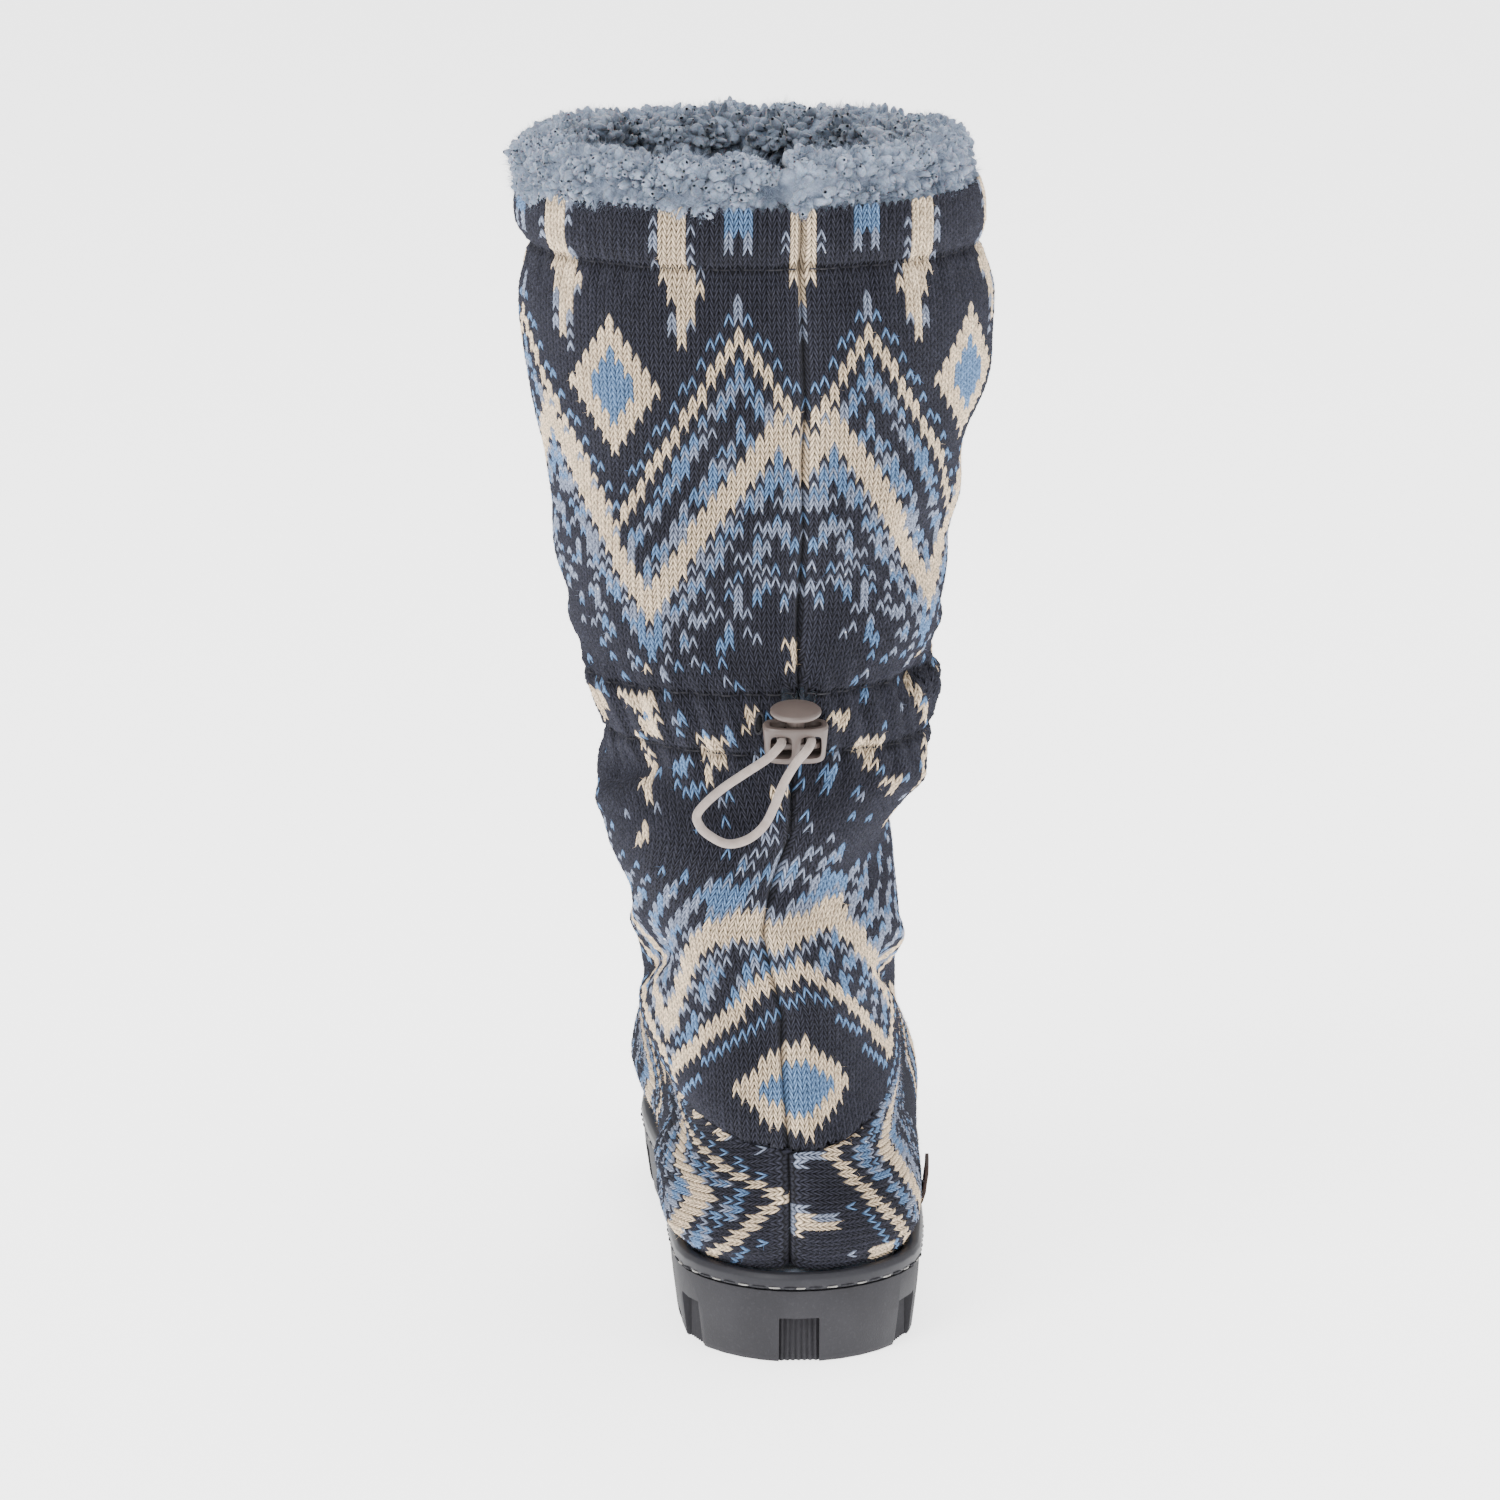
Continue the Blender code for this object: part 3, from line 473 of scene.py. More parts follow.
# Phase of the pattern at the back seam, where the shaft's narrowing cuts wales away
BACK_PHASE = (
    # row, phase
    (-14.0, 21.4), (56.0, 21.4), (66.0, 20.4), (90.0, 14.4), (96.0, 14.0), (150.0, 14.0),
)
# First row of the lower pattern, where the upper one's figures end, and the row below which
# the shaft's pitch stays as it is
LOWER_FROM = 59
UPPER_TO = 66
EVEN_ROW = 112.0

# Depth and width by which the knit is drawn in: at the back seam, rounding towards it, and at sewn seams
# and edges. Then how much shade is painted into the colour along seams, and how wide that is
SEAM_DEPTH = 0.0026
SEAM_WIDTH = 0.0012
ROUNDING_DEPTH = 0.0020
ROUNDING_WIDTH = 0.0055
THREAD_DEPTH = 0.0015
THREAD_WIDTH = 0.0013
SEAM_SHADE = (0.72, 0.0010)
THREAD_SHADE = (0.70, 0.0009)


def hash_noise(*keys):
    """A fixed random number from 0 to 1 for whole-number keys."""
    mixed = 0.0
    for k, key in enumerate(keys):
        mixed = mixed + np.asarray(key, float) * (12.9898 + 65.2331 * k)
    swing = np.sin(mixed) * 43758.5453
    return swing - np.floor(swing)


def clouds(points, size, seed):
    """Smooth noise from -1 to 1 at points, with lumps of a size."""
    place = points / size
    cell = np.floor(place)
    part = place - cell
    part = part * part * (3 - 2 * part)
    value = 0.0
    for corner in range(8):
        step = np.array([corner & 1, corner >> 1 & 1, corner >> 2 & 1])
        weight = np.prod(np.where(step > 0, part, 1 - part), axis=-1)
        at = cell + step
        value = value + weight * hash_noise(at[..., 0], at[..., 1], at[..., 2], seed)
    return 2 * value - 1


def paint(yarn, where, colour):
    """Sets the yarn of the stitches of a figure."""
    yarn[np.broadcast_to(where, yarn.shape)] = colour


def paint_line(yarn, row, start, thick, colour, shown=True):
    """A line of a zigzag, some rows thick, on the stitches that are shown."""
    start = np.floor(start)
    paint(yarn, (row >= start) & (row < start + thick) & shown, colour)


def paint_diamond(yarn, form, row, near):
    """A cream diamond with a blue middle, near counting the wales from its middle."""
    middle, tall, wide, blue_tall, blue_wide = form
    far = np.abs(row - middle)
    paint(yarn, far / tall + near / wide <= 1.0, CREAM_YARN)
    paint(yarn, far / blue_tall + near / blue_wide <= 1.0, BLUE_YARN)
    return far


def upper_pattern(yarn, valley, low_valley, flame_valley, wale, row, chance):
    """Flames, diamonds and zigzags above the drawcord: bare numbers are its rows and wales, or shares of
    stitches. A valley counts the wales from the lowest point of a zigzag. The thick line's zigzag stands
    further on than the thin one's."""
    fall = 1.0 - valley / PEAK
    low_fall = 1.0 - low_valley / PEAK
    slant = np.floor(valley + row / 2.3) % 4 < 2
    low_slant = np.floor(low_valley + row / 2.1) % 4 < 2
    odd = (wale + row) % 2 == 0
    between = (row >= 12.0 + 31.0 * fall) & (row < 21.5 + 28.0 * low_fall) & slant
    paint(yarn, between & (chance > 0.20), GREY_YARN)
    paint(yarn, between & (chance > 0.58), BLUE_YARN)
    depth = row - (28.0 + 28.5 * low_fall)
    reach = 30.0 - 19.0 * low_fall
    thin = depth / reach
    band = (depth >= 0) & (depth < reach)
    paint(yarn, band & low_slant & (chance > 0.04 + thin * 0.80), GREY_YARN)
    paint(yarn, band & ~low_slant & (chance > 0.86), GREY_YARN)
    paint(yarn, band & low_slant & (chance > 0.72 + thin * 0.15), BLUE_YARN)
    paint(yarn, (depth >= 0) & (depth < 3.5) & (low_valley > 12.4), BLUE_YARN)
    paint(yarn, (depth >= 1) & (depth < 6) & (low_valley < 1.5), BLUE_YARN)
    for peak, low, thick, colour, dashed, shifted in UPPER_LINES:
        start = peak + (low - peak) * (low_fall if shifted else fall)
        paint_line(yarn, row, start, thick, colour, odd | (not dashed))
    aside = np.abs(flame_valley - 7)
    flame = np.where(row < 0, 1.7 + 0.04 * row, 2.1 * (1 - row / 13.5))
    paint(yarn, (row < 14) & (aside < flame + 0.8) & (chance > 0.55), GREY_YARN)
    paint(yarn, (row < 12) & (aside < flame), CREAM_YARN)
    drip = np.abs(valley - PEAK)
    paint(yarn, (row < -6) & (drip < 1.6), BLUE_YARN)
    paint(yarn, (row >= -6) & (row < -3) & (drip < 2.6) & (drip % 2 >= 1), GREY_YARN)
    paint(yarn, (row >= 4) & (row < 8) & (drip < 0.6), GREY_YARN)
    far = paint_diamond(yarn, DIAMOND, row, valley)
    paint(yarn, (far > 6.4) & (far < 11.0) & (valley < 1.0), CREAM_YARN)


def from_middle(count, repeat):
    """Wales to the nearest whole repeat."""
    return np.abs((count + repeat / 2) % repeat - repeat / 2)


def lower_pattern(yarn, away, side, row, chance):
    """Scattered figures round the drawcord, then the zigzags and the diamond over the heel.
    Bare numbers are the chart's rows and wales, or shares of stitches."""
    turn = from_middle(away, REPEAT)
    outer_turn = from_middle(away, OUTER_REPEAT)
    signed = (away + 0.5) * side
    odd = (away + row) % 2 == 0
    zone = (row >= 64) & (row < 92) & odd
    paint(yarn, zone & (chance > 0.93), BLUE_YARN)
    paint(yarn, zone & (chance < 0.02), GREY_YARN)
    swing = np.abs((row / 11.0) % 2 - 1)
    for shift in (0.0, 5.0):
        line = np.abs(turn - (9.0 + 4.0 * swing + shift)) < 0.6
        paint(yarn, line & (away > 15) & (row >= 64) & (row < 94), CREAM_YARN)
    for place, top, wide, deep, colour in ARROWS:
        down = (row - top) / deep
        near = np.abs(np.where(away > REPEAT + 6, turn * side, signed) - place)
        paint(yarn, (down >= 0) & (near / wide + down <= 1.0) & (chance > 0.05), colour)
    crests = {s: np.interp(outer_turn if s > 0 else turn, *np.array(CREST[s]).T) for s in (1, -1)}
    crest = np.where(side > 0, crests[1], crests[-1])
    above = crest - row
    speckle_top = 87.0 + 0.8 * turn
    dense = np.clip((row - speckle_top) / 8.0, 0.0, 1.0)
    speckle = (above > 0) & (row > speckle_top)
    slant = (away + np.floor(row / 2) * side) % 4 < 2
    paint(yarn, speckle & slant & (chance > 0.80 - 0.75 * dense), GREY_YARN)
    paint(yarn, speckle & slant & (chance > 0.88 - 0.20 * dense), BLUE_YARN)
    paint(yarn, speckle & ~slant & (above < 9) & (chance > 0.86), GREY_YARN)
    paint(yarn, (above > 0) & (above < 5) & (np.abs(signed - 5.5) < 1.6), BLUE_YARN)
    paint(yarn, (above > 0) & (above < 6) & (np.abs(signed + 4.0) < 1.6), BLUE_YARN)
    roofs = np.where(signed > ROOF_MIDDLE, *ROOF_SLOPES) * np.abs(signed - ROOF_MIDDLE)
    roof = ROOF_TOP + np.where(away < 15, roofs, 1.35 * turn)
    inner = (row > crest + 5) & (row < roof) & slant
    paint(yarn, inner & (chance > 0.2), GREY_YARN)
    paint(yarn, inner & (chance > 0.50), BLUE_YARN)
    for below, thick, colour, dashed, on_crest in reversed(LOWER_LINES):
        start = (crest if on_crest else roof) + below
        paint_line(yarn, row, start, thick, colour, odd | (not dashed))
    paint_diamond(yarn, HEEL_DIAMOND, row, np.where(away < PEAK, np.abs(signed - 1.2), turn))


def leg_yarn(wale, row):
    """Yarn of a stitch of the shaft."""
    side = np.where(wale >= 0, 1, -1)
    whole = np.where(wale >= 0, wale, -wale - 1)
    phase = whole + FRONT_PHASE
    away = np.maximum(np.floor(wales_at_back(row)) - 1 - whole, 0)
    chance = hash_noise(phase % REPEAT, row)
    valley = from_middle(phase, REPEAT)
    further = FURTHER_ON * np.clip((whole - 5) / 25, 0, 1)
    low_valley = from_middle(phase - further, REPEAT)
    flame_valley = from_middle(phase - 0.10 * (row + 6) - 0.5 * np.sin(row * 0.5), REPEAT)
    upper, lower = np.zeros(wale.shape, int), np.zeros(wale.shape, int)
    upper_pattern(upper, valley, low_valley, flame_valley, phase, row, chance)
    lower_pattern(lower, away, side, row, chance)
    return np.where((row < LOWER_FROM) | ((row < UPPER_TO) & (upper > 0)), upper, lower)


FOOT_CYCLE = 74
HEEL_FLAMES = (
    # side, wales above the welt, rows from the seam, half width, rows deep, yarn
    (1, 13.0, 1.0, 1.3, 6.0, GREY_YARN), (1, 5.6, 0.0, 1.9, 9.0, GREY_YARN),
    (1, 5.2, 0.5, 1.4, 8.0, CREAM_YARN),
    (-1, 16.5, 10.0, 1.4, 4.0, GREY_YARN), (-1, 16.5, 11.0, 0.9, 3.0, CREAM_YARN),
    (1, 0.5, 14.0, 1.3, 9.0, CREAM_YARN),
)


def foot_yarn(wale, row):
    """Yarn of a stitch of the foot, each side starting its zigzag at its own height."""
    outer = row >= 0
    out = np.where(outer, row, -row - 1)
    tip, lead = np.where(outer, 13.5, 8.5), np.where(outer, 3.0, 9.0)
    below = wale < tip
    lean = np.where(outer, np.where(below, 0.60, 0.70), np.where(below, 0.70, 1.25))
    swing = (lean * np.abs(wale - tip)) % REPEAT
    valley = np.abs(PEAK - swing)
    real_row = (out + lead) % FOOT_CYCLE
    yarn = np.zeros(wale.shape, int)
    upper_pattern(yarn, valley, valley, valley, wale, real_row, hash_noise(wale, out))
    near_diamond = (np.abs(real_row - DIAMOND[0]) < 13) & (valley < 6)
    paint(yarn, near_diamond & (real_row < 20) & (out < 20), DARK_YARN)
    paint(yarn, (real_row < 13) & (out < 13), DARK_YARN)
    for side, up, first, wide, deep, colour in HEEL_FLAMES:
        run = (out - first) / deep
        tongue = (outer == (side > 0)) & (run >= 0) & (np.abs(wale - up) / wide + run <= 1.0)
        paint(yarn, tongue, colour)
    paint_line(yarn, real_row, 9.0 + 32.0 * (1 - valley / PEAK), 3, CREAM_YARN)
    return yarn


def add_object(name, verts, faces, surface):
    """A smooth shaded mesh object from arrays."""
    mesh = bpy.data.meshes.new(name)
    faces = np.asarray(faces)
    mesh.vertices.add(len(verts))
    mesh.vertices.foreach_set("co", np.asarray(verts, np.float32).ravel())
    sides = faces.shape[1]
    mesh.loops.add(faces.size)
    mesh.loops.foreach_set("vertex_index", faces.astype(np.int32).ravel())
    mesh.polygons.add(len(faces))
    mesh.polygons.foreach_set("loop_start", np.arange(0, faces.size, sides, dtype=np.int32))
    mesh.update(calc_edges=True)
    mesh.shade_smooth()
    mesh.materials.append(surface)
    made = bpy.data.objects.new(name, mesh)
    bpy.context.scene.collection.objects.link(made)
    return made


def dress(made, node, body="shoe"):
    """Hides the CAD node that a piece stands for and hangs the piece on what it rides on."""
    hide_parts(node)
    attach(made, body)
    return made


def set_colours(made, corner_colours):
    """Stores a colour for each face corner."""
    layer = made.data.color_attributes.new("yarn", "FLOAT_COLOR", "CORNER")
    shown = np.column_stack([corner_colours, np.ones(len(corner_colours))])
    layer.data.foreach_set("color", shown.astype(np.float32).ravel())


def set_uv(made, name, corners):
    """Stores a uv map from its values at each face's corners."""
    layer = made.data.uv_layers.new(name=name)
    layer.data.foreach_set("uv", corners.astype(np.float32).ravel())


def grid_faces(rows, columns, closed=False):
    """Quads of a grid of points, row by row."""
    i = np.arange(rows - 1)[:, None]
    j = np.arange(columns if closed else columns - 1)[None, :]
    after = (j + 1) % columns
    corners = (i * columns + j, i * columns + after, (i + 1) * columns + after, (i + 1) * columns + j)
    return np.stack(corners, -1).reshape(-1, 4)


def add_band(name, points, surface, flipped=False):
    """A surface through closed rings of points."""
    faces = grid_faces(points.shape[0], points.shape[1], True)
    return add_object(name, points.reshape(-1, 3), faces[:, ::-1] if flipped else faces, surface)


def add_tubes(name, rings, surface):
    """Many short open tubes, each through its own rings of points."""
    verts = np.stack(rings, 1)
    count, steps, sides = verts.shape[:3]
    one = grid_faces(steps, sides, True)
    faces = (np.arange(count)[:, None, None] * (steps * sides) + one).reshape(-1, 4)
    return add_object(name, verts.reshape(-1, 3), faces, surface)


# Over a stitch's four columns: the yarn's height and the light that reaches it, on the
# stitch's body and in the gap between two stitches
BODY_HEIGHT = np.array((0.1, 0.9, 0.7, 0.9))
GAP_HEIGHT = np.array((-0.9, -0.5, -1.3, -0.5))
BODY_LIGHT = np.array((0.86, 1.10, 1.02, 1.10))
GAP_LIGHT = np.array((0.42, 0.62, 0.24, 0.62))


def yarn_form(wale, row):
    """Height of the yarn and how much light reaches it: two legs to a stitch, with gaps
    between them and at the sides."""
    across = (wale * 4).round().astype(int) % 4
    body = (row * 2).round().astype(int) % 2 == 1
    height = np.where(body, BODY_HEIGHT[across], GAP_HEIGHT[across])
    light = np.where(body, BODY_LIGHT[across], GAP_LIGHT[across])
    uneven = hash_noise(np.floor(wale), np.floor(row), 5.0)
    return height * (0.8 + 0.4 * uneven), light * (0.92 + 0.16 * uneven)


def seam_groove(panel, level, q, near, far):
    """How deep the knit is drawn in at its seams and edges, and the light left there."""
    groove = SEAM_DEPTH * bell(q, SEAM_WIDTH) + ROUNDING_DEPTH * bell(q, ROUNDING_WIDTH)
    light = 1 - SEAM_SHADE[0] * bell(q, SEAM_SHADE[1])
    for seam in panel.seams:
        groove += THREAD_DEPTH * bell(level - seam, THREAD_WIDTH)
        light *= 1 - THREAD_SHADE[0] * bell(level - seam, THREAD_SHADE[1])
    edge = np.where(near > 0, q - near, 1.0)
    edge = np.minimum(edge, np.where(level < panel.open_level, far - q, 1.0))
    return groove + THREAD_DEPTH * bell(edge, THREAD_WIDTH), light


# How far past its panel a stitch may lie and still count as on it
EDGE_SLACK = 1e-9


def knit(name, wales, rows, turned):
    """A sheet of stitches over both sides of the shaft or, turned, of the foot. Its wales run
    from the first side, over the front or the back, to the other."""
    panels, to_level, to_distance, stitch_yarn = FOOT_PLAN if turned else LEG_PLAN
    across = np.arange(wales[0] * 4, wales[1] * 4 + 1) / 4
    down = np.arange(rows[0] * 2, rows[1] * 2 + 1) / 2
    wale, row = np.meshgrid(across, down)
    shift = LEAN * (0.5 - np.abs(2 * (wale % 1.0) - 1))
    if turned:
        shift = shift * np.clip(np.abs(row) / 3.0, 0.0, 1.0) * np.sign(row)
    real_row = row + shift
    height, light = yarn_form(wale, row)
    points, normals = np.zeros(wale.shape + (3,)), np.zeros(wale.shape + (3,))
    gone = np.zeros(wale.shape, int)
    for side, panel in panels.items():
        mine = ((row if turned else wale) >= 0) == (side > 0)
        wale_here = wale[mine] if turned else np.abs(wale[mine])
        row_here = np.abs(real_row[mine]) if turned else real_row[mine]
        level = to_level(wale_here, row_here)
        bounded = np.clip(level, panel.levels[0], panel.levels[-1])
        q = to_distance(wale_here, row_here, bounded)
        near, far = panel.limits(bounded)
        held = np.clip(q, near, far)
        at, normal = panel.place(bounded, held)
        groove, light_left = seam_groove(panel, bounded, held, near, far)
        proud = RELIEF * height[mine] * np.exp(-groove / SEAM_DEPTH) - groove
        light[mine] *= light_left
        points[mine] = at + normal * proud[..., None]
        normals[mine] = normal
        gone[mine] = (q < near - EDGE_SLACK) * 1 + (q > far + EDGE_SLACK) * 2
        gone[mine] += (level < bounded - EDGE_SLACK) * 4 + (level > bounded + EDGE_SLACK) * 8
    faces = grid_faces(*wale.shape)
    kept = ~(gone.ravel()[faces] > 0).all(1)
    wale_of = np.floor(wale[:-1, :-1]).ravel()[kept]
    row_of = np.floor(row[:-1, :-1]).ravel()[kept]
    faces = faces[kept][:, ::-1] if turned else faces[kept]
    used = np.unique(faces)
    renumber = np.zeros(wale.size, int)
    renumber[used] = np.arange(len(used))
    yarn = stitch_yarn(wale_of, row_of)
    made = add_object(name, points.reshape(-1, 3)[used], renumber[faces], knit_surface)
    tone = 0.90 + 0.2 * hash_noise(wale_of, row_of, 3.0)
    # Painted light and shade: each corner gets its yarn colour times the light of its stitch form and the
    # shade painted at seams and edges
    colour = (YARNS[yarn] * tone[:, None])[:, None, :] * light.ravel()[faces][..., None]
    set_colours(made, colour.reshape(-1, 3))
    # Where the grey lurex yarn is, the knit material paints glints: tiny near-white specks in its colour
    painted_glint = made.data.attributes.new("painted_glint", "FLOAT", "FACE")
    painted_glint.data.foreach_set("value", (yarn == GREY_YARN).astype(np.float32))
    set_uv(made, "stitches", np.stack([wale.ravel()[faces], row.ravel()[faces]], -1))
    dress(made, "upper")
    return points.reshape(-1, 3)[faces].mean(1), normals.reshape(-1, 3)[faces].mean(1), YARNS[yarn]


def hairs(name, centres, normals, colours, count, length, width, surface, node, slot, lean=0.7):
    """Fine loose fibres, each a long thin triangle."""
    picked = rng.integers(0, len(centres), count)
    spread = rng.normal(size=(count, 3))
    way = unit(normals[picked] + lean * spread)
    aside = unit(np.cross(way, rng.normal(size=(count, 3))))
    root = centres[picked] + spread * width * 3
    size = length * (0.4 + 0.6 * rng.random(count))[:, None]
    verts = np.stack([root - aside * width / 2, root + aside * width / 2, root + way * size], 1)
    made = add_object(name, verts.reshape(-1, 3), np.arange(count * 3).reshape(-1, 3), surface)
    set_colours(made, colours[picked].repeat(3, 0))
    return dress(made, node)


class Nodes:
    """Short calls for building a material's nodes."""

    def __init__(self, name):
        self.material = bpy.data.materials.new(name)
        self.material.use_nodes = True
        self.tree = self.material.node_tree
        self.shader = self.tree.nodes["Principled BSDF"]

    def add(self, kind, **values):
        node = self.tree.nodes.new(kind)
        for key, value in values.items():
            if hasattr(node, key):
                setattr(node, key, value)
            else:
                node.inputs[key.replace("_", " ")].default_value = value
        return node

    def link(self, source, target):
        self.tree.links.new(source, target)

    def object_place(self):
        return self.add("ShaderNodeTexCoord").outputs["Object"]

    def attribute(self, name, output="Color"):
        return self.add("ShaderNodeAttribute", attribute_name=name).outputs[output]

    def uv(self, name):
        return self.add("ShaderNodeUVMap", uv_map=name).outputs["UV"]

    def maths(self, operation, first, second):
        made = self.add("ShaderNodeMath", operation=operation)
        self.link(first, made.inputs[0])
        if isinstance(second, float):
            made.inputs[1].default_value = second
        else:
            self.link(second, made.inputs[1])
        return made.outputs[0]

    def noise(self, scale, detail=3.0, source=None):
        made = self.add("ShaderNodeTexNoise", Scale=scale, Detail=detail)
        self.link(source or self.object_place(), made.inputs["Vector"])
        return made.outputs["Fac"]

    def ramp(self, source, *stops):
        made = self.add("ShaderNodeValToRGB")
        elements = made.color_ramp.elements
        while len(elements) < len(stops):
            elements.new(0.5)
        for element, (place, colour) in zip(elements, stops):
            element.position = place
            element.color = (*colour, 1.0)
        self.link(source, made.inputs["Fac"])
        return made.outputs["Color"]

    def grey_ramp(self, source, *stops):
        return self.ramp(source, *((place, (level,) * 3) for place, level in stops))

    def mix(self, kind, factor, first, second):
        made = self.add("ShaderNodeMix", data_type="RGBA", blend_type=kind)
        if isinstance(factor, float):
            made.inputs[0].default_value = factor
        else:
            self.link(factor, made.inputs[0])
        for index, value in ((6, first), (7, second)):
            if isinstance(value, tuple):
                made.inputs[index].default_value = (*value, 1.0)
            else:
                self.link(value, made.inputs[index])
        return made.outputs[2]

    def bump(self, height, strength, distance, below=None):
        made = self.add("ShaderNodeBump", Strength=strength, Distance=distance)
        self.link(height, made.inputs["Height"])
        if below:
            self.link(below, made.inputs["Normal"])
        return made.outputs["Normal"]

    def finish(self, colour, normal=None, **values):
        if isinstance(colour, tuple):
            self.shader.inputs["Base Color"].default_value = (*colour, 1.0)
        else:
            self.link(colour, self.shader.inputs["Base Color"])
        if normal:
            self.link(normal, self.shader.inputs["Normal"])
        for key, value in values.items():
            self.shader.inputs[key.replace("_", " ")].default_value = value
        return self.material


def knit_material():
    """Brushed wool-like yarn: colour by stitch with its painted light and shade, painted shade in the gaps
    between stitches, fuzz, twist of the ply, and small lurex glints painted in as near-white specks.
    """
    nodes = Nodes("knit")
    # The stitch colours carry painted light and shade from the mesh; noise adds random lighter and darker
    # flecks
    flecks = nodes.grey_ramp(nodes.noise(1500.0, 4.0), (0.30, 0.52), (0.70, 1.32))
    shaded_and_flecked = nodes.mix("MULTIPLY", 1.0, nodes.attribute("yarn"), flecks)
    haze = nodes.grey_ramp(nodes.noise(300.0), (0.52, 0.0), (0.80, 0.03))
    hazy = nodes.mix("MIX", haze, shaded_and_flecked, (0.30, 0.30, 0.33))
    # Painted glints: tiny near-white specks painted into the colour of the grey lurex yarn
    specks = nodes.add("ShaderNodeTexVoronoi", Scale=1500.0)
    nodes.link(nodes.object_place(), specks.inputs["Vector"])
    spark = nodes.grey_ramp(specks.outputs["Color"], (0.93, 0.0), (0.95, 1.0))
    lit = nodes.maths("MULTIPLY", spark, nodes.attribute("painted_glint", "Fac"))
    shown = nodes.mix("MIX", lit, hazy, (0.95, 0.97, 1.0))
    # Painted shade: the colour is darkened towards the gaps between the stitches' legs and rows
    stitches = nodes.uv("stitches")
    parts = nodes.add("ShaderNodeSeparateXYZ")
    nodes.link(stitches, parts.inputs[0])
    for axis, stops in (
        ("Y", ((0.02, 0.22), (0.22, 0.98), (0.50, 1.20))),
        ("X", ((0.02, 0.50), (0.12, 1.0), (0.40, 1.0), (0.49, 0.50))),
    ):
        painted_gap_shade = nodes.grey_ramp(nodes.maths("PINGPONG", parts.outputs[axis], 0.5), *stops)
        shown = nodes.mix("MULTIPLY", 1.0, shown, painted_gap_shade)
    strands = nodes.add("ShaderNodeTexWave", Scale=2.4, Distortion=2.5, Detail=2.0)
    nodes.link(stitches, strands.inputs["Vector"])
    ply = nodes.bump(strands.outputs["Fac"], 0.4, 0.0003)
    hairy = nodes.bump(nodes.noise(2600.0, 2.0), 0.6, 0.0003, ply)
    return nodes.finish(shown, hairy, Roughness=0.95, Sheen_Weight=0.03, Sheen_Roughness=0.6,
                        Specular_IOR_Level=0.15)


def fibre_material(name):
    """Loose fibres, in their own colours."""
    nodes = Nodes(name)
    uneven = nodes.grey_ramp(nodes.noise(700.0), (0.3, 0.8), (0.7, 1.2))
    colour = nodes.mix("MULTIPLY", 1.0, nodes.attribute("yarn"), uneven)
    return nodes.finish(colour, Roughness=0.9, Specular_IOR_Level=0.2)


def grain_material(name, tone, grain, bumps, rough, shine, **more):
    """A colour that varies softly, made lighter and darker by a finer grain, with bumps. Tone
    and grain are the noise's scale and detail and the stops of its ramp."""
    nodes = Nodes(name)
    scale, detail, *stops = tone
    colour = nodes.ramp(nodes.noise(scale, detail), *stops)
    if grain:
        scale, detail, *stops = grain
        colour = nodes.mix("MULTIPLY", 1.0, colour, nodes.grey_ramp(nodes.noise(scale, detail), *stops))
    normal = None
    for scale, detail, strength, distance in bumps:
        normal = nodes.bump(nodes.noise(scale, detail), strength, distance, normal)
    return nodes.finish(colour, normal, Roughness=rough, Specular_IOR_Level=shine, **more)


def pile_material(name, light_share, dark_share):
    """Teddy pile: soft locks with painted shade, mixed in by noise, for their darker depths, with fine
    fibres. Both shares scale its colours down for copies with more painted shade.
    """
    light = tuple(light_share * c for c in PILE_LIGHT)
    dark = tuple(dark_share * c for c in PILE_DARK)
    return grain_material(
        name, (170.0, 4.0, (0.34, dark), (0.62, light)), (2400.0, 3.0, (0.3, 0.78), (0.7, 1.18)),
        ((900.0, 4.0, 0.7, 0.0008), (3200.0, 3.0, 0.6, 0.0003)), 0.95, 0.15,
        Sheen_Weight=0.35, Sheen_Roughness=0.5, Subsurface_Weight=0.15, Subsurface_Scale=0.002)


def rubber_material(name, colour, rough, grain):
    """Moulded rubber with a fine grain and a little dust."""
    lighter = tuple(1.25 * c for c in colour)
    return grain_material(name, (60.0, 5.0, (0.35, colour), (0.70, lighter)),
                          (900.0, 3.0, (0.55, 0.92), (0.75, 1.12)),
                          ((1800.0, 3.0, grain, 0.0002),), rough, 0.2)


def plain_material(name, dark, light, rough):
    """One colour with a fine grain, for thread and the tab."""
    return grain_material(name, (600.0, 3.0, (0.3, dark), (0.7, light)), None,
                          ((1800.0, 3.0, 0.4, 0.0002),), rough, 0.25)


def elastic_material():
    """Braided elastic: fine lengthwise lines and a cross weave."""
    nodes = Nodes("elastic")
    tone = nodes.ramp(nodes.noise(400.0), (0.3, (0.27, 0.22, 0.195)), (0.7, (0.35, 0.29, 0.26)))
    weave = nodes.add("ShaderNodeTexWave", Scale=9.0, Distortion=0.6, bands_direction="Y")
    nodes.link(nodes.uv("run"), weave.inputs["Vector"])
    lines = nodes.grey_ramp(weave.outputs["Fac"], (0.1, 0.66), (0.5, 1.05))
    bumpy = nodes.bump(weave.outputs["Fac"], 0.5, 0.0003)
    return nodes.finish(nodes.mix("MULTIPLY", 1.0, tone, lines), bumpy, Roughness=0.6,
                        Sheen_Weight=0.2, Specular_IOR_Level=0.35)


# Camera of the photo
CAMERA_PLACE = (-0.1566, -2.7336, 0.8400)
CAMERA_DOWN = 13.43
CAMERA_AZIMUTH = -3.0
CAMERA_LENS = 219.1

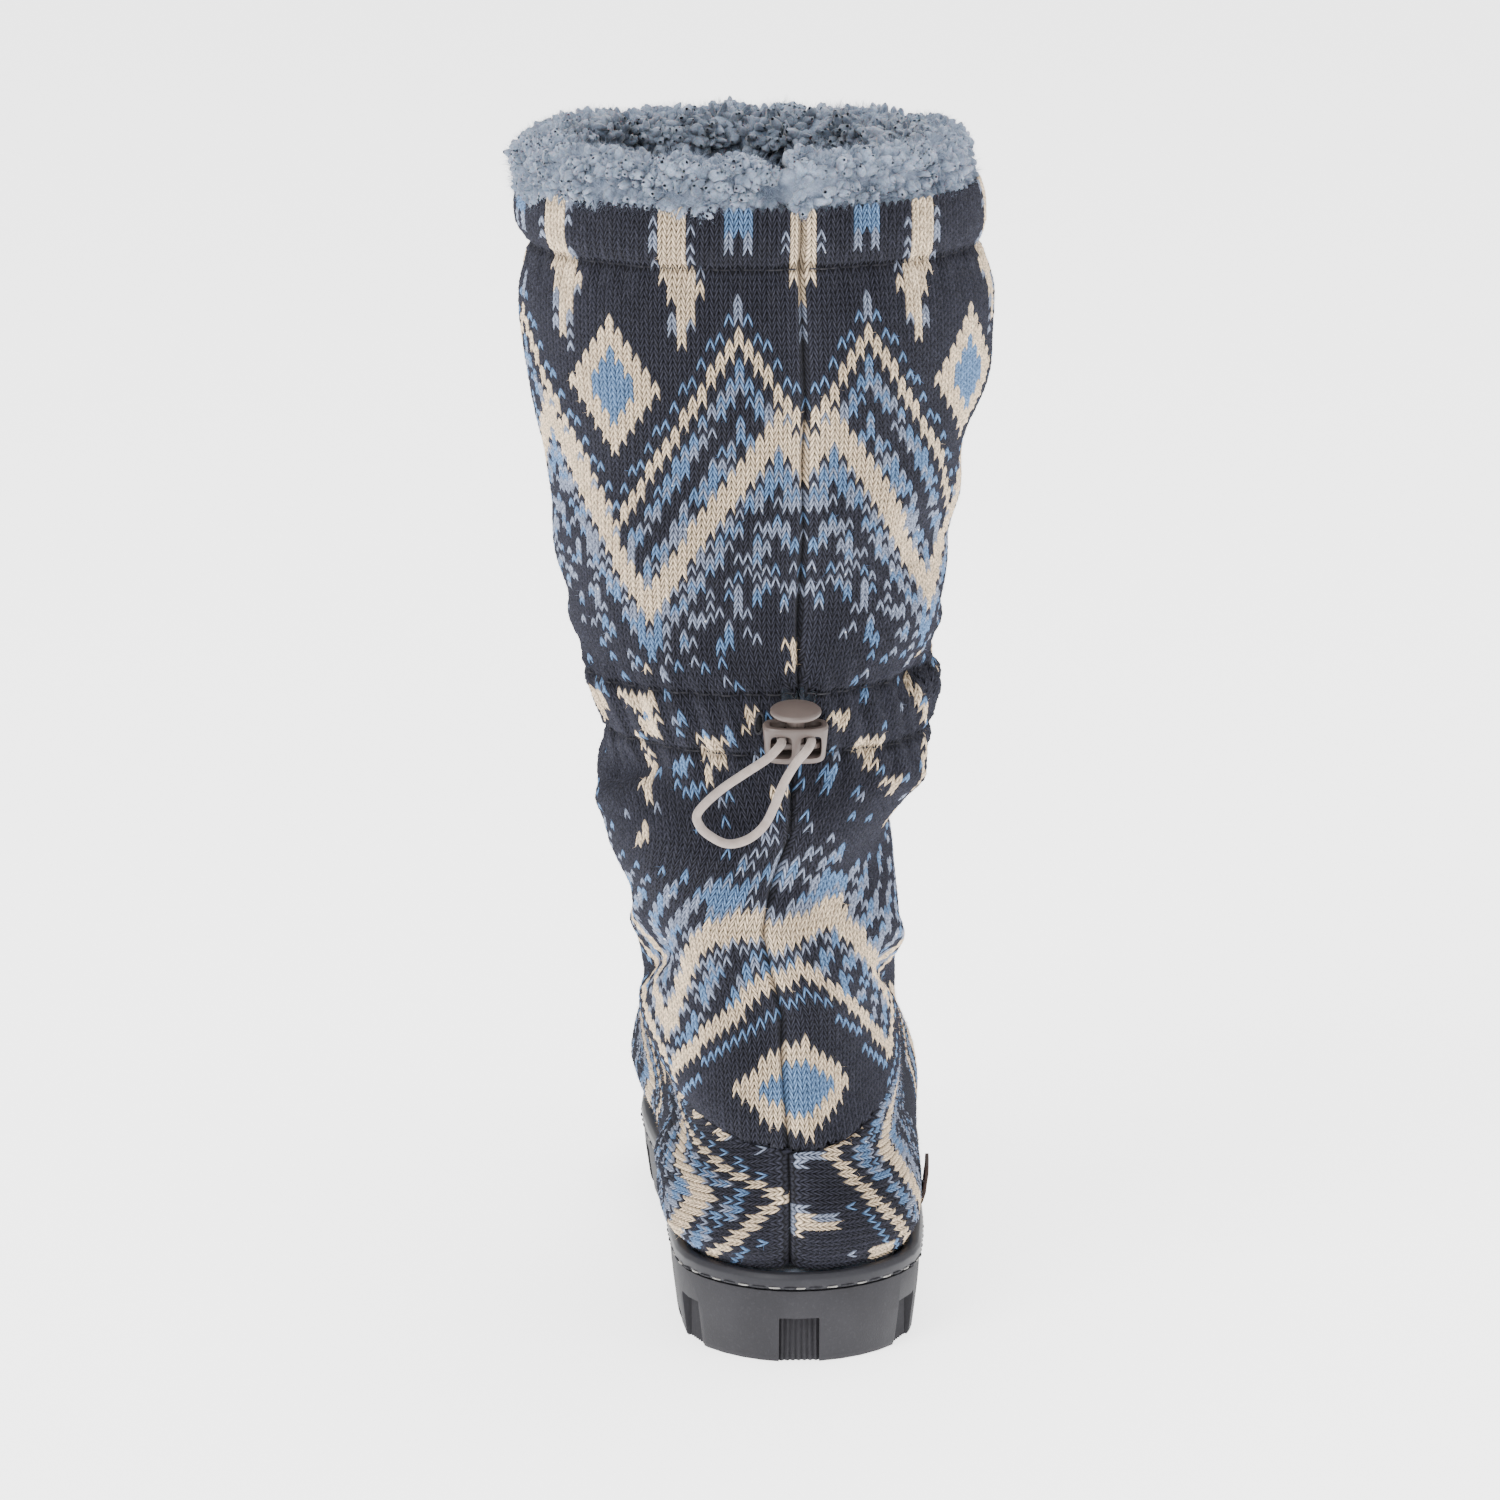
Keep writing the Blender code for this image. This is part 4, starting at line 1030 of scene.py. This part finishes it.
# Brightness of the floor and of the sky, the lamps, and where they aim
FLOOR_GLOW = 2.2
SKY = 1.1
WHITE = (1.0, 1.0, 1.0, 1.0)
LAMPS = (
    # name, place, size, watts
    ("key", (-1.3, -1.6, 1.9), 1.2, 62.0),
    ("fill", (1.7, -1.3, 1.1), 1.6, 20.0),
    ("top", (0.2, 0.5, 2.4), 1.8, 50.0),
)
LAMP_AIM = Vector((0.0, 0.0, 0.18))


def place_new(data, place, turned):
    """Puts a camera or a lamp in the scene."""
    made = bpy.data.objects.new(data.name, data)
    made.location = place
    made.rotation_euler = turned
    bpy.context.scene.collection.objects.link(made)
    return made


def make_camera():
    """The photo's viewpoint."""
    data = bpy.data.cameras.new("camera")
    data.lens = CAMERA_LENS
    data.clip_end = 60.0
    turned = (math.radians(90 - CAMERA_DOWN), 0.0, math.radians(CAMERA_AZIMUTH))
    bpy.context.scene.camera = place_new(data, CAMERA_PLACE, turned)


def make_stage():
    """Pale floor and soft studio light."""
    nodes = Nodes("floor")
    tone = nodes.grey_ramp(nodes.noise(3.0, 2.0), (0.3, 0.90), (0.7, 0.92))
    surface = nodes.finish(tone, Roughness=0.9, Specular_IOR_Level=0.2,
                           Emission_Strength=FLOOR_GLOW, Emission_Color=WHITE)
    bpy.ops.mesh.primitive_plane_add(size=60.0, location=(0.0, 0.0, -0.0001))
    floor = bpy.context.object
    floor.name = "floor"
    floor.data.materials.append(surface)
    world = bpy.data.worlds.new("studio")
    bpy.context.scene.world = world
    world.use_nodes = True
    sky = world.node_tree.nodes["Background"].inputs
    sky["Color"].default_value = WHITE
    sky["Strength"].default_value = SKY
    for name, place, size, power in LAMPS:
        data = bpy.data.lights.new(name, "AREA")
        data.size = size
        data.energy = power
        place_new(data, place, (LAMP_AIM - Vector(place)).to_track_quat("-Z", "Y").to_euler())


# Copies of the solids: distance below which points are joined, and the angles from which
# edges are rounded and stay sharp
WELD = 0.00002
ROUND_FROM = math.radians(32)
SHARP_FROM = math.radians(48)


def solid_copy(node, name, surface, rounding, body="shoe"):
    """A copy of a CAD solid with its edges rounded, for its material."""
    source = bpy.data.objects[node]
    mesh = source.data.copy()
    mesh.transform(source.matrix_world)
    mesh.materials.clear()
    mesh.materials.append(surface)
    made = bpy.data.objects.new(name, mesh)
    bpy.context.scene.collection.objects.link(made)
    made.modifiers.new("weld", "WELD").merge_threshold = WELD
    if rounding:
        bevel = made.modifiers.new("bevel", "BEVEL")
        bevel.width = rounding
        bevel.segments = 2
        bevel.limit_method = "ANGLE"
        bevel.angle_limit = ROUND_FROM
    shown = made.evaluated_get(bpy.context.evaluated_depsgraph_get())
    made.data = bpy.data.meshes.new_from_object(shown)
    made.modifiers.clear()
    made.data.shade_smooth()
    made.data.set_sharp_from_angle(angle=SHARP_FROM)
    return dress(made, node, body)


# The cord lock's place, and the cord's route as in the part's source
CORD_DIAMETER = 0.0028
LOCK_MIDDLE = Vector((-0.0018, -0.041852, 0.1932))
LOCK_TILT = math.radians(10)
LOCK_DEPTH = 0.010
CORD_TAIL = 0.0002
CORD_ASIDE = 0.0045
CORD_UP = 0.0078
CORD_LOOP = (
    (0.0010, -0.0528, 0.1985), (-0.0024, -0.0522, 0.1942), (-0.0058, -0.0511, 0.1880),
    (-0.0083, -0.0498, 0.1812), (-0.0116, -0.0486, 0.1743), (-0.0167, -0.0474, 0.1697),
    (-0.0228, -0.0462, 0.1682), (-0.0285, -0.0451, 0.1709), (-0.0312, -0.0449, 0.1740),
    (-0.0318, -0.0453, 0.1772), (-0.0291, -0.0466, 0.1812), (-0.0241, -0.0488, 0.1862),
    (-0.0176, -0.0508, 0.1912), (-0.0112, -0.0522, 0.1958), (-0.0080, -0.0521, 0.1988),
)
CORD_STEPS = 10
CORD_SIDES = 16


def lock_place(point):
    """A point of the lock's own frame, in the shoe's frame."""
    return LOCK_MIDDLE + Matrix.Rotation(LOCK_TILT, 3, "X") @ Vector(point)


def smooth_route(route, steps):
    """Points on a smooth curve through the route's points."""
    dense = []
    for k in range(len(route) - 1):
        p0, p1 = route[max(k - 1, 0)], route[k]
        p2, p3 = route[k + 1], route[min(k + 2, len(route) - 1)]
        for step in range(steps):
            t = step / steps
            dense.append(0.5 * ((2 * p1) + (p2 - p0) * t + (2 * p0 - 5 * p1 + 4 * p2 - p3) * t**2
                                + (3 * p1 - p0 - 3 * p2 + p3) * t**3))
    dense.append(route[-1])
    return np.array([tuple(p) for p in dense])


def run_along(path):
    """Distance along a path at each of its points."""
    return np.concatenate([[0.0], np.cumsum(np.linalg.norm(np.diff(path, axis=0), axis=1))])


def make_cord():
    """The free loop of round elastic behind the shaft, with its run in its uv."""
    back = LOCK_DEPTH / 2 + CORD_TAIL
    inward = [lock_place((CORD_ASIDE, y, CORD_UP)) for y in (back, 0.0, -LOCK_DEPTH / 2)]
    home = [lock_place((-CORD_ASIDE, y, CORD_UP)) for y in (-LOCK_DEPTH / 2, 0.0, back)]
    path = smooth_route(inward + [Vector(p) for p in CORD_LOOP] + home, CORD_STEPS)
    radius = CORD_DIAMETER / 2
    tangent = unit(np.gradient(path, axis=0))
    first = unit(np.cross(tangent, (0.0, 1.0, 0.0)))
    around = circle(CORD_SIDES, first, np.cross(tangent, first))
    made = add_band("cord", path[:, None, :] + radius * around, elastic_material())
    run = run_along(path)
    i = np.repeat(np.arange(len(path) - 1), CORD_SIDES)
    j = np.tile(np.arange(CORD_SIDES), len(path) - 1)
    share = np.stack([run[i], run[i], run[i + 1], run[i + 1]], 1) / radius
    round_way = np.stack([j, j + 1, j + 1, j], 1) / CORD_SIDES
    set_uv(made, "run", np.stack([share, round_way], -1))
    dress(made, "drawcord")


# Share of a tuft's length at each of its rings, and how thick it is there
TUFT_RINGS = ((-0.2, 0.8), (0.40, 1.0), (0.85, 0.78), (1.05, 0.30))
TUFT_SIDES = 5


def tufts(name, base, normals, length, width, count, surface, node, droop):
    """Locks of pile: soft tapered cones, each bent its own way, on picked base points."""
    picked = rng.integers(0, len(base), count)
    lean = rng.normal(size=(count, 3)) * 0.35
    lean += 1.3 * np.stack([clouds(base[picked], 0.006, s) for s in (1, 2, 3)], 1)
    way = unit(normals[picked] + lean - np.array([0.0, 0.0, droop]))
    first = unit(np.cross(way, rng.normal(size=(count, 3))))
    around = circle(TUFT_SIDES, first, np.cross(way, first))
    size = length * (0.55 + 0.6 * rng.random(count))
    thick = width * (0.7 + 0.6 * rng.random(count))
    tuft_rings = []
    for share, swell in TUFT_RINGS:
        centre = base[picked] + way * (size * share)[:, None]
        centre += first * (0.45 * size * max(share, 0.0) ** 2)[:, None]
        rough = 1 + 0.14 * rng.normal(size=(count, TUFT_SIDES))
        reach = (thick * swell / 2)[:, None, None] * rough[..., None]
        tuft_rings.append(centre[:, None, :] + reach * around)
    return dress(add_tubes(name, tuft_rings, surface), node)


make_camera()
lock_surface = grain_material(
    "lock_plastic", (120.0, 3.0, (0.3, (0.092, 0.071, 0.063)), (0.7, (0.108, 0.084, 0.075))),
    None, ((2500.0, 3.0, 0.15, 0.0001),), 0.42, 0.45)
lock_body = solid_copy("cord_lock_body", "lock_barrel", lock_surface, 0.00035)
lock_button = solid_copy("cord_lock_plunger", "lock_button", lock_surface, 0.0002, "plunger")
make_cord()
make_stage()

# Panels: the shaft's levels are heights, the foot's are distances up the skin from the welt
LEG_FROM = 0.064
FOOT_TO = 0.170
LEVEL_STEP = 0.001
skin, ring_place = make_skin()
rings = upper_rings()
casing_z = float(rings[CASING_RING, 0, 2])
top_z = float(rings[-1, 0, 2])
seam_heights = [casing_z] + [float(rings[k, 0, 2]) for k in CHANNEL_RINGS]
rising = np.arange(SKIN_ROWS)[:, None] * 1e-9
height_measure = np.maximum.accumulate(skin[..., 2], axis=0) + rising
leg_levels = np.arange(LEG_FROM, top_z + LEVEL_STEP / 2, LEVEL_STEP)
climb = np.linalg.norm(np.diff(skin, axis=0), axis=2)
climb = np.concatenate([np.zeros((1, skin.shape[1])), np.cumsum(climb, 0)])
climb = climb - climb[int(np.searchsorted(ring_place, 1.0))] + rising
foot_levels = np.arange(0.0, FOOT_TO, LEVEL_STEP)

leg, foot = {}, {}
for side in (1, -1):
    leg[side] = Panel(skin, height_measure, leg_levels, side, ring_place, SEAM_RING, ring_place[-1])
    leg[side].seams = seam_heights
    leg[side].open_level = float(rings[SEAM_RING, SHARP_COLUMNS - 1, 2])
    foot[side] = Panel(skin, climb, foot_levels, side, ring_place, 0.0, SEAM_RING)
    foot[side].open_level = 0.0


def wales_at_back(row):
    """How many wales the shaft has from its front to the back seam at a row."""
    return blend_table(BACK_PHASE, np.asarray(row, float))[..., 0] - FRONT_PHASE


def leg_level(wale, row):
    """Height of a knit row of the shaft."""
    return casing_z - row * ROW


def leg_distance(wale, row, level):
    """Distance from the back seam of a wale of the shaft: an even pitch at the back, wider
    or narrower towards the front."""
    even = np.minimum(row, EVEN_ROW)
    girth = np.interp(casing_z - even * ROW, leg[1].levels, leg[1].girth)
    wales = wales_at_back(row)
    share = 1.0 - wale / wales
    start = WALE * wales / girth
    return girth * (start * share + (1.0 - start) * share**3 * np.sign(share))


def foot_level(wale, row):
    """Height above the welt of a wale of the foot, which runs round the heel."""
    return wale * WALE


def foot_distance(wale, row, level):
    """Distance from the back of a knit row of the foot."""
    return row * ROW


# Tufts and hairs: how long and thick they are and how many, and how far out of the roll its
# hairs start
OUTER_TUFTS = (0.0034, 0.0031, 4600)
INNER_TUFTS = (0.0036, 0.0032, 2000)
LINING_TUFTS = (0.0042, 0.0034, 3200)
KNIT_HAIRS = (60000, 0.0022, 0.00007)
PILE_HAIRS = (70000, 0.0048, 0.00010)
PILE_HAIRS_OUT = 0.0012
LEG_PLAN = (leg, leg_level, leg_distance, leg_yarn)
FOOT_PLAN = (foot, foot_level, foot_distance, foot_yarn)
knit_surface = knit_material()
sheets = [knit(*sheet) for sheet in (
    # name, wales, rows, turned
    ("knit_casing", (-65, 65), (-int((top_z - casing_z) / ROW), 0), False),
    ("knit_shaft_top", (-65, 65), (0, 68), False),
    ("knit_shaft_bottom", (-60, 60), (68, 144), False),
    ("knit_heel", (0, 22), (-165, 165), True),
    ("knit_vamp", (22, 58), (-165, 165), True),
)]
centres, normals, colours = (np.concatenate([sheet[k] for sheet in sheets]) for k in range(3))
hairs("knit_fuzz", centres, normals, colours, *KNIT_HAIRS, fibre_material("fuzz"), "upper", "knit")

# The roll of pile: its points round the edge and round its section, its notch at the back
# and how much of that stays bare, its shift towards the inner side, how far its outer
# edge hangs, the share of the collar's half width and height that it fills outwards and
# upwards, and its lumps (depth, size, seed)
ROLL_STEPS = 320
ROLL_SIDES = 28
NOTCH_DEPTH = 0.60
NOTCH_WIDTH = 0.0060
NOTCH_X = -0.0054
NOTCH_BARE = 0.0022
ROLL_SHIFT = -0.0022
HANG = 0.0052
OUTER_SHARE = 0.66
UPPER_SHARE = 0.84
ROLL_LUMPS = ((0.0024, 0.0090, 11), (0.0009, 0.0042, 12))
UP = np.array([[0.0, 0.0, 1.0]])


def roll_surface():
    """Lumpy roll of pile round the top edge, its normals, and which columns face inwards."""
    edge = rings[-1][np.linspace(0, len(rings[-1]) - 1, ROLL_STEPS).astype(int)]
    outward = right_of(unit(np.roll(edge, -1, 0) - np.roll(edge, 1, 0)))
    angle = 2 * np.pi * np.arange(ROLL_SIDES) / ROLL_SIDES
    out, up = np.cos(angle), np.sin(angle)
    wall_reach = min((ROLL_INWARDS - WALL) / (ROLL_WIDTH / 2), 1.0)
    middle_up = GAP + ROLL_HEIGHT / 2 * math.sqrt(1.0 - wall_reach**2)
    centre = edge - outward * ROLL_INWARDS + np.array([ROLL_SHIFT, 0.0, middle_up])
    out_reach = out * np.where(out > 0, OUTER_SHARE, 1.0) * ROLL_WIDTH / 2
    up_reach = up * np.where(up > 0, UPPER_SHARE, 1.0) * ROLL_HEIGHT / 2
    shape = out_reach[:, None] * outward[:, None] + up_reach[:, None] * UP[:, None]
    notch = bell(edge[:, 0] - NOTCH_X, NOTCH_WIDTH) * (edge[:, 1] < LEG_AXIS)
    verts = centre[:, None] + shape * (1 - NOTCH_DEPTH * notch)[:, None, None]
    verts[..., 2] -= HANG * np.clip(out - up, 0, 1) * out.clip(0, 1)
    lumps = sum(depth * clouds(verts, size, seed) for depth, size, seed in ROLL_LUMPS)
    away = circle(ROLL_SIDES, outward, UP)
    return verts + away * lumps[..., None], away, out < -0.25


# Lit and shaded copies of the pile: the second and third are darkened by painted shade, the darker one for
# the lining and the footbed, the other for the roll's tufts that face inwards
pile_surface = pile_material("pile", 1.0, 1.0)
deep_shade_pile_surface = pile_material("pile_deep_painted_shade", 0.45, 0.40)
shaded_surface = pile_material("pile_shaded", 0.66, 0.60)
roll, roll_normals, facing_in = roll_surface()
dress(add_band("pile_roll", np.concatenate([roll, roll[:1]]), pile_surface), "sherpa_collar")
in_notch = (np.abs(roll[..., 0] - NOTCH_X) < NOTCH_BARE) & (roll[..., 1] < LEG_AXIS)
outside = ~(facing_in | in_notch)
inside = facing_in & ~in_notch
tufts("pile_tufts", roll[outside], roll_normals[outside], *OUTER_TUFTS, pile_surface, "sherpa_collar", 0.15)
# Tufts that face into the shoe use the pile with painted shade
tufts("pile_inner_tufts", roll[inside], roll_normals[inside], *INNER_TUFTS, shaded_surface,
      "sherpa_collar", 0.10)
ends = (roll + roll_normals * PILE_HAIRS_OUT)[outside]
hairs("pile_fibres", ends, roll_normals[outside], np.tile(PILE_LIGHT, (len(ends), 1)), *PILE_HAIRS,
      fibre_material("pile_fibre"), "sherpa_collar", "pile", 1.0)

# The lining inside the knit: how far in it lies, its lumps, and the height from which it
# shows and has tufts
LINING_IN = 0.0068
LINING_LUMPS = (0.0006, 0.006, 21)
LINING_TUFTS_FROM = 0.296
lining_rows = np.arange(int(np.searchsorted(ring_place, 2.0)), SKIN_ROWS, 5)
lining_normals = skin_normals(skin)[lining_rows][:, ::2]
lining = skin[lining_rows][:, ::2] - lining_normals * LINING_IN
depth, size, seed = LINING_LUMPS
lining = lining - lining_normals * (depth * clouds(lining, size, seed))[..., None]
# The lining and its tufts use the pile darkened by painted deep shade
dress(add_band("pile_lining", lining, deep_shade_pile_surface, True), "upper")
near_top = lining[..., 2] > LINING_TUFTS_FROM
tufts("lining_tufts", lining[near_top], -lining_normals[near_top], *LINING_TUFTS, deep_shade_pile_surface,
      "upper", -0.3)

rubber = rubber_material("sole_rubber", (0.024, 0.0235, 0.027), 0.66, 0.35)
smooth_rubber = rubber_material("welt_rubber", (0.020, 0.020, 0.024), 0.46, 0.12)
tab_surface = plain_material("tab", (0.022, 0.012, 0.010), (0.040, 0.022, 0.018), 0.7)
solid_copy("outsole", "sole_block", rubber, 0.0005)
solid_copy("welt", "welt_rand", smooth_rubber, 0.0003)
# The footbed uses the pile darkened by painted deep shade
solid_copy("insole", "footbed", deep_shade_pile_surface, 0.0)
solid_copy("side_label", "label_tab", tab_surface, 0.0003)

# Stitches of thread: share of the length at each ring and how thick it is there, the
# stitches' pitch, place and size (length, radius) on the welt and on seams, and a step along
# a line
STITCH_RINGS = ((-0.5, 0.35), (-0.38, 0.9), (0.0, 1.0), (0.38, 0.9), (0.5, 0.35))
STITCH_SIDES = 6
WELT_PITCH = 0.0052
WELT_THREAD_UP = GAP + 0.0009
WELT_THREAD_OUT = WELT_LIP - 0.0001
WELT_PALE = (0.0036, 0.00028)
WELT_DARK = (0.0046, 0.00034)
SEAM_FROM = 0.0035
SEAM_PITCH = 0.0034
SEAM_THREAD = (0.0030, 0.00030)
THREAD_SUNK = 0.8 * THREAD_DEPTH
AHEAD = 0.0005


def stitch_row(name, points, ways, outs, size, surface, node="upper"):
    """Short stitches of thread: rounded bars that lie along a line."""
    length, radius = size
    around = circle(STITCH_SIDES, np.cross(ways, outs), outs)
    stitch_rings = []
    for share, swell in STITCH_RINGS:
        lift = 0.35 * radius - 0.8 * radius * (2 * share) ** 2
        centre = points + ways * (length * share) + outs * lift
        stitch_rings.append(centre[:, None, :] + radius * swell * around)
    return dress(add_tubes(name, stitch_rings, surface), node)


outline = sole_outline(-WELT_THREAD_OUT)
whole = np.vstack([outline, outline[:1]])
run = run_along(whole)
stops = np.arange(0.0, run[-1] - WELT_PITCH / 2, WELT_PITCH)
spots, ahead = (np.stack([np.interp(at, run, whole[:, c]) for c in range(2)], 1)
                for at in (stops, stops + AHEAD))
ways = np.column_stack([unit(ahead - spots), np.zeros(len(spots))])
outs = right_of(ways)
spots = np.column_stack([spots, sole_top(spots[:, 1]) + WELT_THREAD_UP])
pale_thread = plain_material("pale_thread", (0.16, 0.155, 0.15), (0.34, 0.33, 0.31), 0.7)
dark_thread = plain_material("dark_thread", (0.012, 0.012, 0.015), (0.030, 0.030, 0.036), 0.7)
for name, first, size, thread in (
    ("welt_stitches", 0, WELT_PALE, pale_thread),
    ("welt_dark_stitches", 1, WELT_DARK, dark_thread),
):
    stitch_row(name, spots[first::2], ways[first::2], outs[first::2], size, thread, "welt")

for level in seam_heights:
    for side, panel in leg.items():
        q = np.arange(SEAM_FROM, float(np.interp(level, panel.levels, panel.high)), SEAM_PITCH)
        at, normal = panel.place(np.full(len(q), level), q)
        after, _ = panel.place(np.full(len(q), level), q + AHEAD)
        stitch_row(f"seam_thread_{level * 1000:.0f}_{'outer' if side > 0 else 'inner'}",
                   at - normal * THREAD_SUNK, unit(after - at), normal, SEAM_THREAD, dark_thread)

# Buttonhole of the cord, beside the lock on the inner side
HOLE_AWAY = 0.0132
HOLE_Z = 0.2035
HOLE_TALL = 0.0062
HOLE_WIDE = 0.0022
HOLE_PROUD = 0.0006
HOLE_THREAD = (0.0015, 0.00045)
SLIT = (0.0050, 0.00085)
turns = 2 * np.pi * np.arange(16) / 16
rim, rim_normals = leg[-1].place(HOLE_Z + HOLE_TALL / 2 * np.sin(turns),
                                 HOLE_AWAY + HOLE_WIDE / 2 * np.cos(turns))
rim_ways = unit(np.roll(rim, -1, 0) - np.roll(rim, 1, 0))
stitch_row("buttonhole_thread", rim + rim_normals * HOLE_PROUD, rim_ways, rim_normals, HOLE_THREAD,
           dark_thread)
# The slit is a near-black bar: painted shade standing for the dark inside of the opening
slit, slit_normals = leg[-1].place(np.array([HOLE_Z]), np.array([HOLE_AWAY]))
slit_shade_surface = plain_material("slit", (0.002, 0.002, 0.002), (0.004, 0.004, 0.005), 0.9)
stitch_row("buttonhole_slit_shade", slit + slit_normals * HOLE_PROUD, UP, slit_normals, SLIT, slit_shade_surface)
